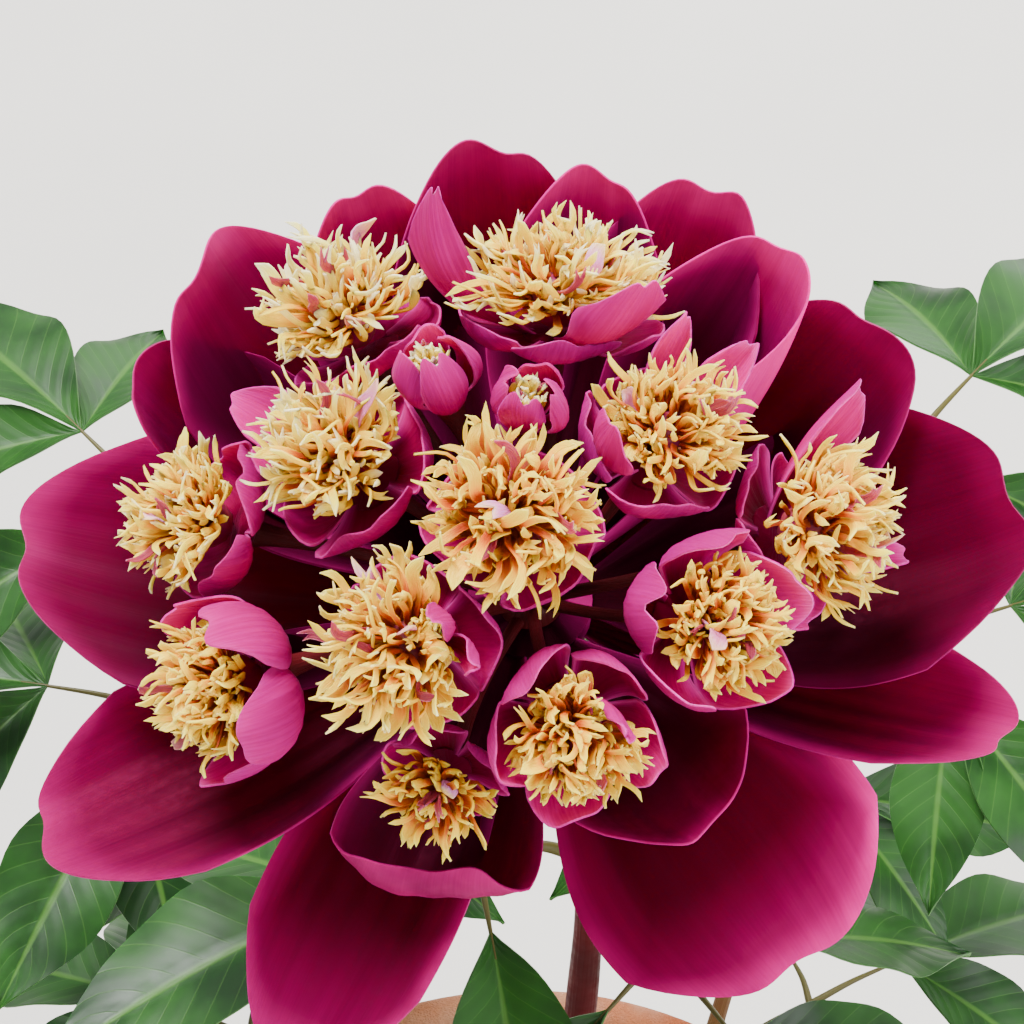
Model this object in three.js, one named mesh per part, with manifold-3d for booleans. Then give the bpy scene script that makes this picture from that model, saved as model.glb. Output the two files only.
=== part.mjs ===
// A red peony grown in a plain clay pot. A thick stem carries one compound bloom: a bowl of broad guard
// petals round a dome of small florets, each a tuft of narrow yellow staminodes in a collar of petals.
// Compound leaves stand on that stem and on four leafy shoots round it. Units are millimetres, +Z is up,
// the bloom leans towards -Y, and the origin is the middle of the pot's foot.
import * as THREE from "three";
import { mergeVertices } from "three/addons/utils/BufferGeometryUtils.js";
import Module from "manifold-3d";

const wasm = await Module();
wasm.setup();

const { degToRad, lerp } = THREE.MathUtils;

// Driving dimensions

const SEAT_GAP = 0.3; // between a piece and the piece that carries it

const POT = {
  height: 190,
  footRadius: 78,
  shoulderRadius: 104,
  bandRadius: 113,
  bandHeight: 34,
  wall: 8,
  floor: 11,
  lip: 4, // how far the mouth narrows inside the band
  flare: 2, // how much wider the band is near its top
  taper: 1, // how much wider the mouth is near its top
  edge: 3, // how far the foot, the band and the lip are eased
  drainRadius: 6,
  drainCircle: 42,
  drainCount: 3,
  drainSides: 8,
  sides: 28,
};
const SOIL = {
  level: 168, // at the pot's wall
  mound: 7, // how much higher it stands at the stems
  slope: [[0.75, 0.45], [0.4, 0.85]], // shares of the radius and of the mound, going in and up
};

const HEAD = { x: 0, y: -12, z: 500, lean: degToRad(20) };
const RECEPTACLE = {
  radius: 7,
  top: 6,
  shoulder: 1,
  waist: -11.5,
  bottom: -16,
  neckRadius: 4.2,
  crownRadius: 4.9,
  stemDepth: 2, // how far the stem is sunk into its foot
  sides: 10,
};
const PEDICEL = { radius: 1.5, root: 2, sides: 3 };
const PETAL_RING = { radius: 12.5, top: 0.5, bottom: -6.5, sides: 16 };
const SEPAL_RING = { radius: 9, top: -7, bottom: -11, sides: 12 };

// The florets stand round the head's base: azimuth from +X, lean from the head's axis, distance from its
// base to the floret's middle, and the radius of the ball that the floret fills. A cup of 0 is a collar
// that lies open under its tuft, 1 is one that stands round it, and 2 is a bud that has just parted.
// stretch widens a floret that is grown together of two.
const FLORETS = [
  { name: "a", azimuth: 131, lean: 51, distance: 70, radius: 17.5, cup: 0, petals: 4, turn: 20 },
  { name: "b", azimuth: 83, lean: 40, distance: 66, radius: 16.5, cup: 0.1, petals: 5, turn: 60,
    stretch: 1.45 },
  { name: "c", azimuth: 168, lean: 36, distance: 62, radius: 18, cup: 0.2, petals: 4, turn: 10 },
  { name: "d", azimuth: 246, lean: 10, distance: 63, radius: 18, cup: 0, petals: 4, turn: 35 },
  { name: "e", azimuth: 23, lean: 27, distance: 60, radius: 17.5, cup: 0.3, petals: 4, turn: 0 },
  { name: "f", azimuth: 358, lean: 54, distance: 66, radius: 18, cup: 0, petals: 4, turn: 50 },
  { name: "g", azimuth: 177, lean: 64, distance: 71, radius: 17, cup: 0.35, petals: 4, turn: 15 },
  { name: "h", azimuth: 207, lean: 67, distance: 70, radius: 19, cup: 0.9, petals: 5, turn: 40 },
  { name: "i", azimuth: 233, lean: 37, distance: 62, radius: 17.5, cup: 0, petals: 4, turn: 0 },
  { name: "j", azimuth: 323, lean: 41, distance: 63, radius: 18.5, cup: 1, petals: 5, turn: 30 },
  { name: "k", azimuth: 280, lean: 47, distance: 61, radius: 17.5, cup: 0.8, petals: 5, turn: 55 },
  { name: "l", azimuth: 250, lean: 67, distance: 55, radius: 12, cup: 0.2, petals: 4, turn: 10 },
  { name: "m", azimuth: 134, lean: 22, distance: 66, radius: 10, cup: 2, petals: 4, turn: 25 },
  { name: "n", azimuth: 92, lean: 10, distance: 64, radius: 9, cup: 2, petals: 4, turn: 70 },
];

// What the florets have in common, as shares of a floret's radius. Three values in a row are for an open
// floret, a cup and a bud.
const CORE = { width: [0.48, 0.48, 0.36], height: 0.42, middle: -0.1 };
const COLLAR = {
  plate: 0.32, // the radius of the plate that the petals spring from
  bowReach: [0.8, 1, 1.35],
  bowRise: [-0.8, -0.7, -0.1],
  tipReach: [1, 0.95, 0.35],
  tipRise: [-0.42, 0.45, 0.95],
  girth: [5.3, 5.3, 4.6], // all the petals' widths added up
  fold: [30, 50, 62], // degrees
  claw: 0.4,
  overlap: 1.2,
  ripple: 0.5,
  rows: [0.3, 0.65, 1],
  clearance: 0.4, // mm, from a petal's face to the wall that parts it from the next floret
  easing: 0.7, // the share of the room up to that wall that a petal may fill unbent
};
const TUFT = {
  reach: [0.97, 0.72, 0.6],
  lowest: [-0.02, -0.02, 0.45], // how low a staminode's direction may dip
  margin: [0.5, 2.2, 2.2], // mm, from a staminode to the next floret's wall
  detail: [1, 1, 0],
  shortest: 0.78, // of the staminodes' lengths where nothing is in the way
  spread: 0.3,
  tipWidth: 0.48, // of the base's edge
  trim: 0.1, // the share that comes off a staminode at a time until it is clear
  leastLength: 0.3,
  checkedShare: 0.6, // of its length, where a staminode is also kept clear
  seed: 1000,
};

// The guard petals: azimuth, how far the tip reaches from the head's axis and rises along it, the control
// point that bows the midline, the width, how far the two sides fold up towards each other in degrees,
// and the whorl, of which 1 is the outer and lower one.
const GUARD_PETALS = [
  { azimuth: 97, reach: 77, rise: 50, bow: [60, -2], width: 44, fold: 30, whorl: 1 },
  { azimuth: 80, reach: 73, rise: 46, bow: [58, 0], width: 38, fold: 40, whorl: 0 },
  { azimuth: 63, reach: 79, rise: 45, bow: [60, -2], width: 42, fold: 40, whorl: 1 },
  { azimuth: 48, reach: 76, rise: 43, bow: [58, 0], width: 30, fold: 70, whorl: 0 },
  { azimuth: 32, reach: 83, rise: 34, bow: [62, -3], width: 48, fold: 40, whorl: 1 },
  { azimuth: 6, reach: 96, rise: 25, bow: [60, -6], width: 60, fold: 25, whorl: 0 },
  { azimuth: 343, reach: 99, rise: 6, bow: [52, -6], width: 32, fold: 65, whorl: 1 },
  { azimuth: 307, reach: 90, rise: -9, bow: [60, 5], width: 64, fold: -18, whorl: 1 },
  { azimuth: 301, reach: 64, rise: 23, bow: [44, -3], width: 42, fold: 35, whorl: 0 },
  { azimuth: 241, reach: 99, rise: -27, bow: [60, -4], width: 42, fold: 30, whorl: 1 },
  { azimuth: 251, reach: 72, rise: 5, bow: [60, -12], width: 46, fold: 50, whorl: 0 },
  { azimuth: 208, reach: 108, rise: -3, bow: [60, -10], width: 46, fold: 35, whorl: 0 },
  { azimuth: 176, reach: 102, rise: 14, bow: [60, -7], width: 58, fold: 22, whorl: 1 },
  { azimuth: 155, reach: 85, rise: 33, bow: [62, -4], width: 40, fold: 45, whorl: 0 },
  { azimuth: 139, reach: 87, rise: 40, bow: [64, -3], width: 52, fold: 28, whorl: 1 },
  { azimuth: 117, reach: 76, rise: 45, bow: [60, -1], width: 38, fold: 30, whorl: 0 },
];
const GUARD = {
  rootDepth: 2.5, // how far a root is sunk into the ring
  rootInset: 1.2, // from the ring's upper or lower face
  claw: 0.12,
  overlap: 2.5,
  ripple: 1.5,
  rows: 4,
  columns: 4,
  clearShare: 1.06, // of a floret's radius, kept clear of petals
  clearGap: 1.6,
};

// The outline that all the petals share.
const PETAL = {
  thickness: 0.8,
  widest: 0.62, // the share of the length at which a petal is widest
  tipRounding: 0.27,
  tipNarrowing: 0.22,
  ripples: 4, // the angle, in radians, that the ripple's wave runs through from the middle to a side
};

const SEPALS = {
  count: 6,
  turn: 15,
  rootDepth: 1,
  bow: [10, -2], // from the ring's edge and foot
  tip: [18, -9],
  uneven: [3, 4], // how much further some tips reach and droop
  width: 12,
  fold: 25,
  claw: 0.4,
  rows: 2,
  columns: 2,
};

// The stems: points from the soil up, and the radius at the foot and at the top.
const MAIN_STEM = {
  path: [[6, 8, 130], [10, 12, 250], [15, 13, 370], [12, 8, 440]],
  radii: [4.6, 3.2],
  sides: 8,
  steps: 10,
};
const SIDE_STEM = {
  path: [[15, 12, 396], [8, 0, 425], [0, -9, 452], [0, -11, 482]],
  radii: [2, 1.7],
  sides: 5,
  steps: 5,
};
const SHOOT = { radii: [3.4, 1.2], sides: 6, steps: 5 };
const SHOOT_PATHS = {
  shoot_back_right: [[34, 30, 130], [48, 44, 240], [68, 66, 350], [84, 88, 430]],
  shoot_back_left: [[-34, 32, 130], [-46, 46, 240], [-66, 66, 340], [-84, 84, 415]],
  shoot_front_left: [[-32, -30, 130], [-42, -38, 220], [-60, -48, 300], [-80, -56, 360]],
  shoot_front_right: [[36, -28, 130], [48, -36, 220], [68, -46, 300], [90, -52, 360]],
};

// The compound leaves: the stem they grow from, how far up it, which way they point and how steeply they
// climb, the length of the stalk and of the end leaflet, and how many leaflets they bear.
const LEAVES = [
  { stem: "flower_stem", at: 0.71, azimuth: 205, climb: 38, stalk: 34, length: 78, leaflets: 5 },
  { stem: "flower_stem", at: 0.66, azimuth: 302, climb: 35, stalk: 34, length: 78, leaflets: 5 },
  { stem: "flower_stem", at: 0.69, azimuth: 92, climb: 40, stalk: 34, length: 70, leaflets: 5 },
  { stem: "flower_stem", at: 0.42, azimuth: 266, climb: 40, stalk: 38, length: 78, leaflets: 3 },
  { stem: "shoot_back_right", at: 0.975, azimuth: 50, climb: 62, stalk: 22, length: 76, leaflets: 5 },
  { stem: "shoot_back_right", at: 0.8, azimuth: 20, climb: 45, stalk: 30, length: 78, leaflets: 7 },
  { stem: "shoot_back_right", at: 0.58, azimuth: 80, climb: 35, stalk: 34, length: 78, leaflets: 7 },
  { stem: "shoot_back_right", at: 0.38, azimuth: 28, climb: 25, stalk: 38, length: 76, leaflets: 7 },
  { stem: "shoot_back_left", at: 0.975, azimuth: 132, climb: 62, stalk: 22, length: 76, leaflets: 5 },
  { stem: "shoot_back_left", at: 0.78, azimuth: 170, climb: 45, stalk: 30, length: 78, leaflets: 7 },
  { stem: "shoot_back_left", at: 0.55, azimuth: 108, climb: 35, stalk: 34, length: 78, leaflets: 7 },
  { stem: "shoot_back_left", at: 0.36, azimuth: 158, climb: 25, stalk: 38, length: 76, leaflets: 7 },
  { stem: "shoot_front_left", at: 0.97, azimuth: 218, climb: 45, stalk: 22, length: 76, leaflets: 5 },
  { stem: "shoot_front_left", at: 0.68, azimuth: 172, climb: 34, stalk: 32, length: 76, leaflets: 7 },
  { stem: "shoot_front_left", at: 0.42, azimuth: 245, climb: 25, stalk: 36, length: 74, leaflets: 7 },
  { stem: "shoot_front_right", at: 0.97, azimuth: 322, climb: 45, stalk: 22, length: 76, leaflets: 5 },
  { stem: "shoot_front_right", at: 0.68, azimuth: 12, climb: 34, stalk: 32, length: 76, leaflets: 7 },
  { stem: "shoot_front_right", at: 0.42, azimuth: 292, climb: 25, stalk: 36, length: 74, leaflets: 7 },
];

// A leaf's stalk leaves its stem level, climbs to a knee and then flattens to the node in which it parts.
const STALK = {
  width: 2.6,
  thickness: 2.2,
  seatLength: 2.5,
  kneeShare: 0.55,
  farClimb: 0.25,
  sizes: [1.25, 1.1, 1, 0.85], // at the stem, past the seat, at the knee and at the node
};
// The arms that a stalk parts in: the side of the node each grows from, its turn and nose-down in degrees,
// its length as a share of the leaf's, and its leaflets' scale.
const ARMS = [
  { side: 0, yaw: 0, pitch: 4, share: 0.34, scale: 1 },
  { side: 1, yaw: 78, pitch: 10, share: 0.2, scale: 0.86 },
  { side: -1, yaw: -78, pitch: 10, share: 0.2, scale: 0.86 },
];
const ARM = { width: 2, endThickness: 1.6, plateLength: 2.6 };
const LEAFLET = {
  thickness: 0.8,
  halfWidth: 0.21, // of its length, as the lift, wave and droop below are
  taper: 1.15,
  lift: 0.26, // of the half width
  wave: 0.035,
  waves: 7, // the angle, in radians, that the edge's wave runs through
  droop: 0.2,
  rows: [0.24, 0.5, 0.76],
  endPitch: 6,
};
const LATERAL = { yaw: 58, outerYaw: 46, pitch: 12, scale: 0.8 };

// What is small enough to count as nothing, in mm
const MERGE_DISTANCE = 1e-4;
const SLIVER = 0.05;
const PETAL_SLIVER = 0.15;

// Materials

const material = (color, roughness) => new THREE.MeshStandardMaterial({ color, roughness, metalness: 0 });
const CLAY = material(0xb5673f, 0.85);
const EARTH = material(0x33241a, 0.95);
const RED_STEM = material(0x4a1a1c, 0.6);
const GREEN_STEM = material(0x5c6b34, 0.6);
const LEAF_GREEN = material(0x2f5a2c, 0.5);
const SEPAL_GREEN = material(0x56692f, 0.6);
const GUARD_CRIMSON = material(0x8a0f3c, 0.45);
const COLLAR_MAGENTA = material(0xb32a72, 0.45);
const STAMINODE_YELLOW = material(0xe3b350, 0.6);

// Solids from geometry, and back

function solidFrom(geometry) {
  const bare = geometry.clone();
  bare.deleteAttribute("normal");
  bare.deleteAttribute("uv");
  const merged = mergeVertices(bare, MERGE_DISTANCE);
  const corners = [];
  for (let i = 0; i < merged.index.count; i += 3) {
    const [a, b, c] = merged.index.array.slice(i, i + 3);
    if (a !== b && b !== c && c !== a) corners.push(a, b, c);
  }
  return new wasm.Manifold(
    new wasm.Mesh({
      numProp: 3,
      vertProperties: new Float32Array(merged.attributes.position.array),
      triVerts: new Uint32Array(corners),
    }),
  );
}

function solidFromFaces(positions, faces) {
  const geometry = new THREE.BufferGeometry();
  geometry.setAttribute("position", new THREE.Float32BufferAttribute(positions, 3));
  geometry.setIndex(faces);
  return solidFrom(geometry);
}

function namedMesh(name, solid, look) {
  const { vertProperties, triVerts } = solid.getMesh();
  const geometry = new THREE.BufferGeometry();
  geometry.setAttribute("position", new THREE.BufferAttribute(new Float32Array(vertProperties), 3));
  geometry.setIndex(new THREE.BufferAttribute(new Uint32Array(triVerts), 1));
  geometry.computeVertexNormals();
  const mesh = new THREE.Mesh(geometry, look);
  mesh.name = name;
  return mesh;
}

// Joins solids in one body. Slivers that the cuts leave are dropped where they are loose, and folded away
// where they are thinner than the tolerance.
function joined(solids, tolerance = SLIVER) {
  const whole = solids.reduce((sum, piece) => sum.add(piece));
  const [largest] = whole.decompose().sort((a, b) => b.volume() - a.volume());
  return largest.simplify(tolerance);
}

// Draws numbers from 0 to 1, the same ones each time for the same seed.
function seededDraw(seed) {
  const factor = 16807;
  const modulus = 2147483647;
  let state = seed;
  return () => {
    state = (state * factor) % modulus;
    return state / modulus;
  };
}

// A thin closed blade round the middle surface(u, v), with u from root to tip and v from -1 to 1 across.
// Both faces are split into triangles alike, and a row that shrinks to a point closes on itself.
function blade(surface, along, across, thickness) {
  const step = 0.02;
  const inside = (x, low, high) => Math.min(Math.max(x, low), high);
  const normalAt = (u, v) => {
    const [a, b] = [inside(u, 2 * step, 1 - 2 * step), inside(v, -1 + step, 1 - step)];
    const alongIt = surface(a + step, b).sub(surface(a - step, b));
    const acrossIt = surface(a, b + step).sub(surface(a, b - step));
    return alongIt.cross(acrossIt).normalize();
  };
  const positions = [];
  for (const side of [0.5, -0.5]) {
    for (let i = 0; i <= along; i++) {
      const u = i / along;
      const pointed = surface(u, -1).distanceTo(surface(u, 1)) < MERGE_DISTANCE;
      for (let j = 0; j <= across; j++) {
        const v = -1 + (2 * j) / across;
        const offset = normalAt(u, pointed ? 0 : v).multiplyScalar(side * thickness);
        positions.push(...surface(u, v).add(offset).toArray());
      }
    }
  }
  const below = (along + 1) * (across + 1);
  const at = (i, j) => i * (across + 1) + j;
  const faces = [];
  const wall = (a, b) => faces.push(a, a + below, b + below, a, b + below, b);
  for (let i = 0; i < along; i++) {
    for (let j = 0; j < across; j++) {
      const [a, b, c, d] = [at(i, j), at(i + 1, j), at(i + 1, j + 1), at(i, j + 1)];
      faces.push(a, b, c, a, c, d);
      faces.push(a + below, c + below, b + below, a + below, d + below, c + below);
    }
    wall(at(i, 0), at(i + 1, 0));
    wall(at(i + 1, across), at(i, across));
  }
  for (let j = 0; j < across; j++) {
    wall(at(0, j + 1), at(0, j));
    wall(at(along, j), at(along, j + 1));
  }
  return solidFromFaces(positions, faces);
}

// A sheet that grows edge by edge and is then given its thickness. An edge is a pair of corners, the left
// one first as seen looking out.
class Sheet {
  corners = [];
  faces = [];

  add(point, thickness) {
    return this.corners.push({ point, thickness }) - 1;
  }

  // Adds an edge across a frame, centred at a point.
  addEdge(centre, { upward, forward }, width, thickness) {
    const sideways = new THREE.Vector3().crossVectors(upward, forward);
    return [0.5, -0.5].map((side) =>
      this.add(centre.clone().addScaledVector(sideways, side * width), thickness));
  }

  middleOf([left, right]) {
    return this.corners[left].point.clone().lerp(this.corners[right].point, 0.5);
  }

  bridge([leftA, rightA], [leftB, rightB]) {
    this.faces.push([leftA, rightA, rightB], [leftA, rightB, leftB]);
  }

  // A small plate beyond an edge. Returns its edges ahead (0), to the left (1) and to the right (-1).
  plateBeyond(edge, centre, frame, width, thickness) {
    const front = centre.clone().addScaledVector(frame.forward, ARM.plateLength);
    const ahead = this.addEdge(front, frame, width, thickness);
    this.bridge(edge, ahead);
    return { 0: ahead, 1: [edge[0], ahead[0]], [-1]: [ahead[1], edge[1]] };
  }

  // A lobe beyond an edge: rows of three corners at the given u on the surface(u, v), and a tip if pointed.
  lobe(edge, surface, rows, pointed, thickness) {
    const corners = rows.map((u) => [1, 0, -1].map((v) => this.add(surface(u, v), thickness)));
    const [left, rib, right] = corners[0];
    this.faces.push([edge[0], rib, left], [edge[0], edge[1], rib], [edge[1], right, rib]);
    for (let k = 1; k < corners.length; k++) {
      this.bridge(corners[k - 1].slice(0, 2), corners[k].slice(0, 2));
      this.bridge(corners[k - 1].slice(1), corners[k].slice(1));
    }
    if (!pointed) return;
    const tip = this.add(surface(1, 0), thickness);
    const last = corners[corners.length - 1];
    this.faces.push([last[0], last[1], tip], [last[1], last[2], tip]);
  }

  // Moves each corner both ways along the sheet's normal there. Both faces keep the same triangles, and the
  // open edges are walled.
  thickened() {
    const normals = this.corners.map(() => new THREE.Vector3());
    const edges = new Map();
    for (const [a, b, c] of this.faces) {
      const side = this.corners[b].point.clone().sub(this.corners[a].point);
      const normal = side.cross(this.corners[c].point.clone().sub(this.corners[a].point));
      for (const corner of [a, b, c]) normals[corner].add(normal);
      for (const [from, to] of [[a, b], [b, c], [c, a]]) {
        if (!edges.delete(`${to},${from}`)) edges.set(`${from},${to}`, [from, to]);
      }
    }
    const positions = [];
    for (const side of [0.5, -0.5]) {
      this.corners.forEach(({ point, thickness }, k) => {
        const offset = normals[k].clone().setLength(side * thickness);
        positions.push(...point.clone().add(offset).toArray());
      });
    }
    const below = this.corners.length;
    const triangles = this.faces.flatMap(([a, b, c]) => [a, b, c, a + below, c + below, b + below]);
    for (const [from, to] of edges.values()) {
      triangles.push(from, from + below, to + below, from, to + below, to);
    }
    return solidFromFaces(positions, triangles);
  }
}

// A closed tube along a curve, with its radius going from radii[0] to radii[1].
function taperedTube(curve, { radii, sides, steps }) {
  const { normals, binormals } = curve.computeFrenetFrames(steps, false);
  const positions = [];
  const faces = [];
  for (let i = 0; i <= steps; i++) {
    const centre = curve.getPointAt(i / steps);
    const radius = lerp(...radii, i / steps);
    for (let k = 0; k < sides; k++) {
      const angle = (2 * Math.PI * k) / sides;
      const corner = centre.clone();
      corner.addScaledVector(normals[i], radius * Math.cos(angle));
      corner.addScaledVector(binormals[i], radius * Math.sin(angle));
      positions.push(...corner.toArray());
    }
  }
  for (let i = 0; i < steps; i++) {
    for (let k = 0; k < sides; k++) {
      const [a, b] = [i * sides + k, i * sides + ((k + 1) % sides)];
      faces.push(a, b, b + sides, a, b + sides, a + sides);
    }
  }
  const last = steps * sides;
  for (let k = 1; k < sides - 1; k++) {
    faces.push(0, k + 1, k);
    faces.push(last, last + k, last + k + 1);
  }
  return solidFromFaces(positions, faces);
}

const curveThrough = (points) =>
  new THREE.CatmullRomCurve3(points.map((p) => new THREE.Vector3(...p)), false, "centripetal");

function turnedSolid(profile, sides) {
  const points = profile.map(([r, z]) => new THREE.Vector2(r, z));
  const geometry = new THREE.LatheGeometry(points, sides);
  geometry.rotateX(Math.PI / 2);
  return solidFrom(geometry);
}

// A flat ring that sits round the receptacle.
function ringRoundReceptacle({ radius, top, bottom, sides }) {
  const bore = RECEPTACLE.radius + SEAT_GAP;
  return turnedSolid([[bore, bottom], [radius, bottom], [radius, top], [bore, top], [bore, bottom]], sides);
}

// Where the head's parts lie: florets in their own frames, inside cells that keep them apart

const UPWARD = new THREE.Vector3(0, 0, 1);
const headMatrix = new THREE.Matrix4()
  .makeTranslation(HEAD.x, HEAD.y, HEAD.z)
  .multiply(new THREE.Matrix4().makeRotationX(HEAD.lean));

function direction(azimuth, lean) {
  const level = Math.sin(degToRad(lean));
  const angle = degToRad(azimuth);
  return new THREE.Vector3(level * Math.cos(angle), level * Math.sin(angle), Math.cos(degToRad(lean)));
}

const florets = FLORETS.map((floret, index) => {
  const axis = direction(floret.azimuth, floret.lean);
  const centre = axis.clone().multiplyScalar(floret.distance);
  const turn = new THREE.Quaternion().setFromUnitVectors(UPWARD, axis);
  const frame = new THREE.Matrix4().compose(centre, turn, new THREE.Vector3(1, 1, 1));
  return { stretch: 1, ...floret, index, axis, centre, frame };
});

// A value between those of an open floret, a cup and a bud.
const byCup = ([open, cupped, bud], cup) => (cup > 1 ? lerp(cupped, bud, cup - 1) : lerp(open, cupped, cup));

// The planes that part a floret from its neighbours, each lying between the two balls.
function wallsOf(floret) {
  return florets.filter((other) => other !== floret).map((other) => {
    const normal = other.centre.clone().sub(floret.centre);
    const apart = normal.length();
    normal.divideScalar(apart);
    const share = (apart ** 2 + floret.radius ** 2 - other.radius ** 2) / (2 * apart);
    const onPlane = floret.centre.clone().addScaledVector(normal, share);
    return new THREE.Plane().setFromNormalAndCoplanarPoint(normal, onPlane);
  });
}

// The middle surface of a petal that grows from an axis, in that axis's frame.
// root, bow and tip are [radius, height] of the midline's three control points.
function petalSurface({ azimuth, root, bow, tip, width, fold, claw, overlap = 0, ripple = 0 }) {
  const outward = direction(azimuth, 90);
  const sideways = new THREE.Vector3(-outward.y, outward.x, 0);
  const midline = new THREE.QuadraticBezierCurve(
    new THREE.Vector2(...root),
    new THREE.Vector2(...bow),
    new THREE.Vector2(...tip),
  );
  const foldAngle = degToRad(fold);
  const { widest, tipRounding, tipNarrowing, ripples } = PETAL;
  return (u, v) => {
    const s = u * (1 - tipRounding * Math.abs(v) ** 3);
    const opening = Math.sin((Math.PI / 2) * Math.min(s / widest, 1));
    const closing = Math.max(0, (s - widest) / (1 - widest));
    const half = (width / 2) * (claw + (1 - claw) * opening) * (1 - tipNarrowing * closing ** 2);
    const bend = foldAngle * v;
    const lateral = (half * Math.sin(bend)) / foldAngle;
    const lift = (half * (1 - Math.cos(bend))) / foldAngle;
    const height = lift + overlap * v * s + ripple * s * s * Math.sin(ripples * v + azimuth);
    const middle = midline.getPoint(s);
    const tangent = midline.getTangent(s);
    return new THREE.Vector3()
      .addScaledVector(outward, middle.x - tangent.y * height)
      .addScaledVector(sideways, lateral)
      .setZ(middle.y + tangent.x * height);
  };
}

// Guard petals: one body, on a ring that sits round the receptacle

function bentClearOfFlorets(point) {
  for (const { centre, radius } of florets) {
    const away = point.clone().sub(centre);
    const least = GUARD.clearShare * radius + GUARD.clearGap;
    if (away.length() < least) point.copy(centre).addScaledVector(away.normalize(), least);
  }
  return point;
}

function makeGuardPetals() {
  const { radius, top, bottom } = PETAL_RING;
  const { rootDepth, rootInset, claw, overlap, ripple, rows, columns } = GUARD;
  const petals = GUARD_PETALS.map(({ reach, rise, whorl, ...shape }) => {
    const rootHeight = whorl ? bottom + rootInset : top - rootInset;
    const root = [radius - rootDepth, rootHeight];
    const surface = petalSurface({ ...shape, root, tip: [reach, rise], claw, overlap, ripple });
    return blade((u, v) => bentClearOfFlorets(surface(u, v)), rows, columns, PETAL.thickness);
  });
  return joined([ringRoundReceptacle(PETAL_RING), ...petals], PETAL_SLIVER);
}

// Florets: a collar of petals on a small plate, and a tuft of staminodes that stands in it

// How high the middle of the plate under a floret's tuft lies in the floret's frame.
const plateHeight = ({ radius }) =>
  (CORE.middle - CORE.height) * radius - SEAT_GAP - PETAL.thickness / 2;

// Draws a point in towards the floret's middle where it nears or passes a wall.
function easedInside(point, walls, { centre }) {
  const clearance = PETAL.thickness / 2 + COLLAR.clearance;
  for (const wall of walls) {
    const room = -wall.distanceToPoint(centre) - clearance;
    const reach = room + clearance + wall.distanceToPoint(point);
    const free = COLLAR.easing * room;
    if (reach < free) continue;
    const eased = free + (room - free) * Math.tanh((reach - free) / (room - free));
    point.sub(centre).multiplyScalar(eased / reach).add(centre);
  }
  return point;
}

// The collar's petals spring from the edges of a small plate and overlap edge over edge.
function makeCollar(floret) {
  const { radius, cup, petals, turn, frame, stretch } = floret;
  const sheet = new Sheet();
  const height = plateHeight(floret);
  const plateRadius = COLLAR.plate * radius;
  const plate = [];
  for (let k = 0; k < petals; k++) {
    const corner = direction(turn + (360 * (k - 0.5)) / petals, 90).multiplyScalar(plateRadius).setZ(height);
    plate.push(sheet.add(corner.applyMatrix4(frame), PETAL.thickness));
  }
  for (let k = 2; k < petals; k++) sheet.faces.push([plate[0], plate[k - 1], plate[k]]);
  const walls = wallsOf(floret);
  for (let k = 0; k < petals; k++) {
    const surface = petalSurface({
      azimuth: turn + (360 * k) / petals,
      root: [plateRadius * Math.cos(Math.PI / petals), height],
      bow: [byCup(COLLAR.bowReach, cup) * radius, byCup(COLLAR.bowRise, cup) * radius],
      tip: [byCup(COLLAR.tipReach, cup) * radius, byCup(COLLAR.tipRise, cup) * radius],
      width: (byCup(COLLAR.girth, cup) * radius) / petals,
      fold: byCup(COLLAR.fold, cup),
      claw: COLLAR.claw,
      overlap: COLLAR.overlap,
      ripple: COLLAR.ripple,
    });
    const kept = (u, v) => {
      const local = surface(u, v);
      local.x *= lerp(1, stretch, u);
      return easedInside(local.applyMatrix4(frame), walls, floret);
    };
    sheet.lobe([plate[(k + 1) % petals], plate[k]], kept, COLLAR.rows, false, PETAL.thickness);
  }
  return sheet.thickened();
}

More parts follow.
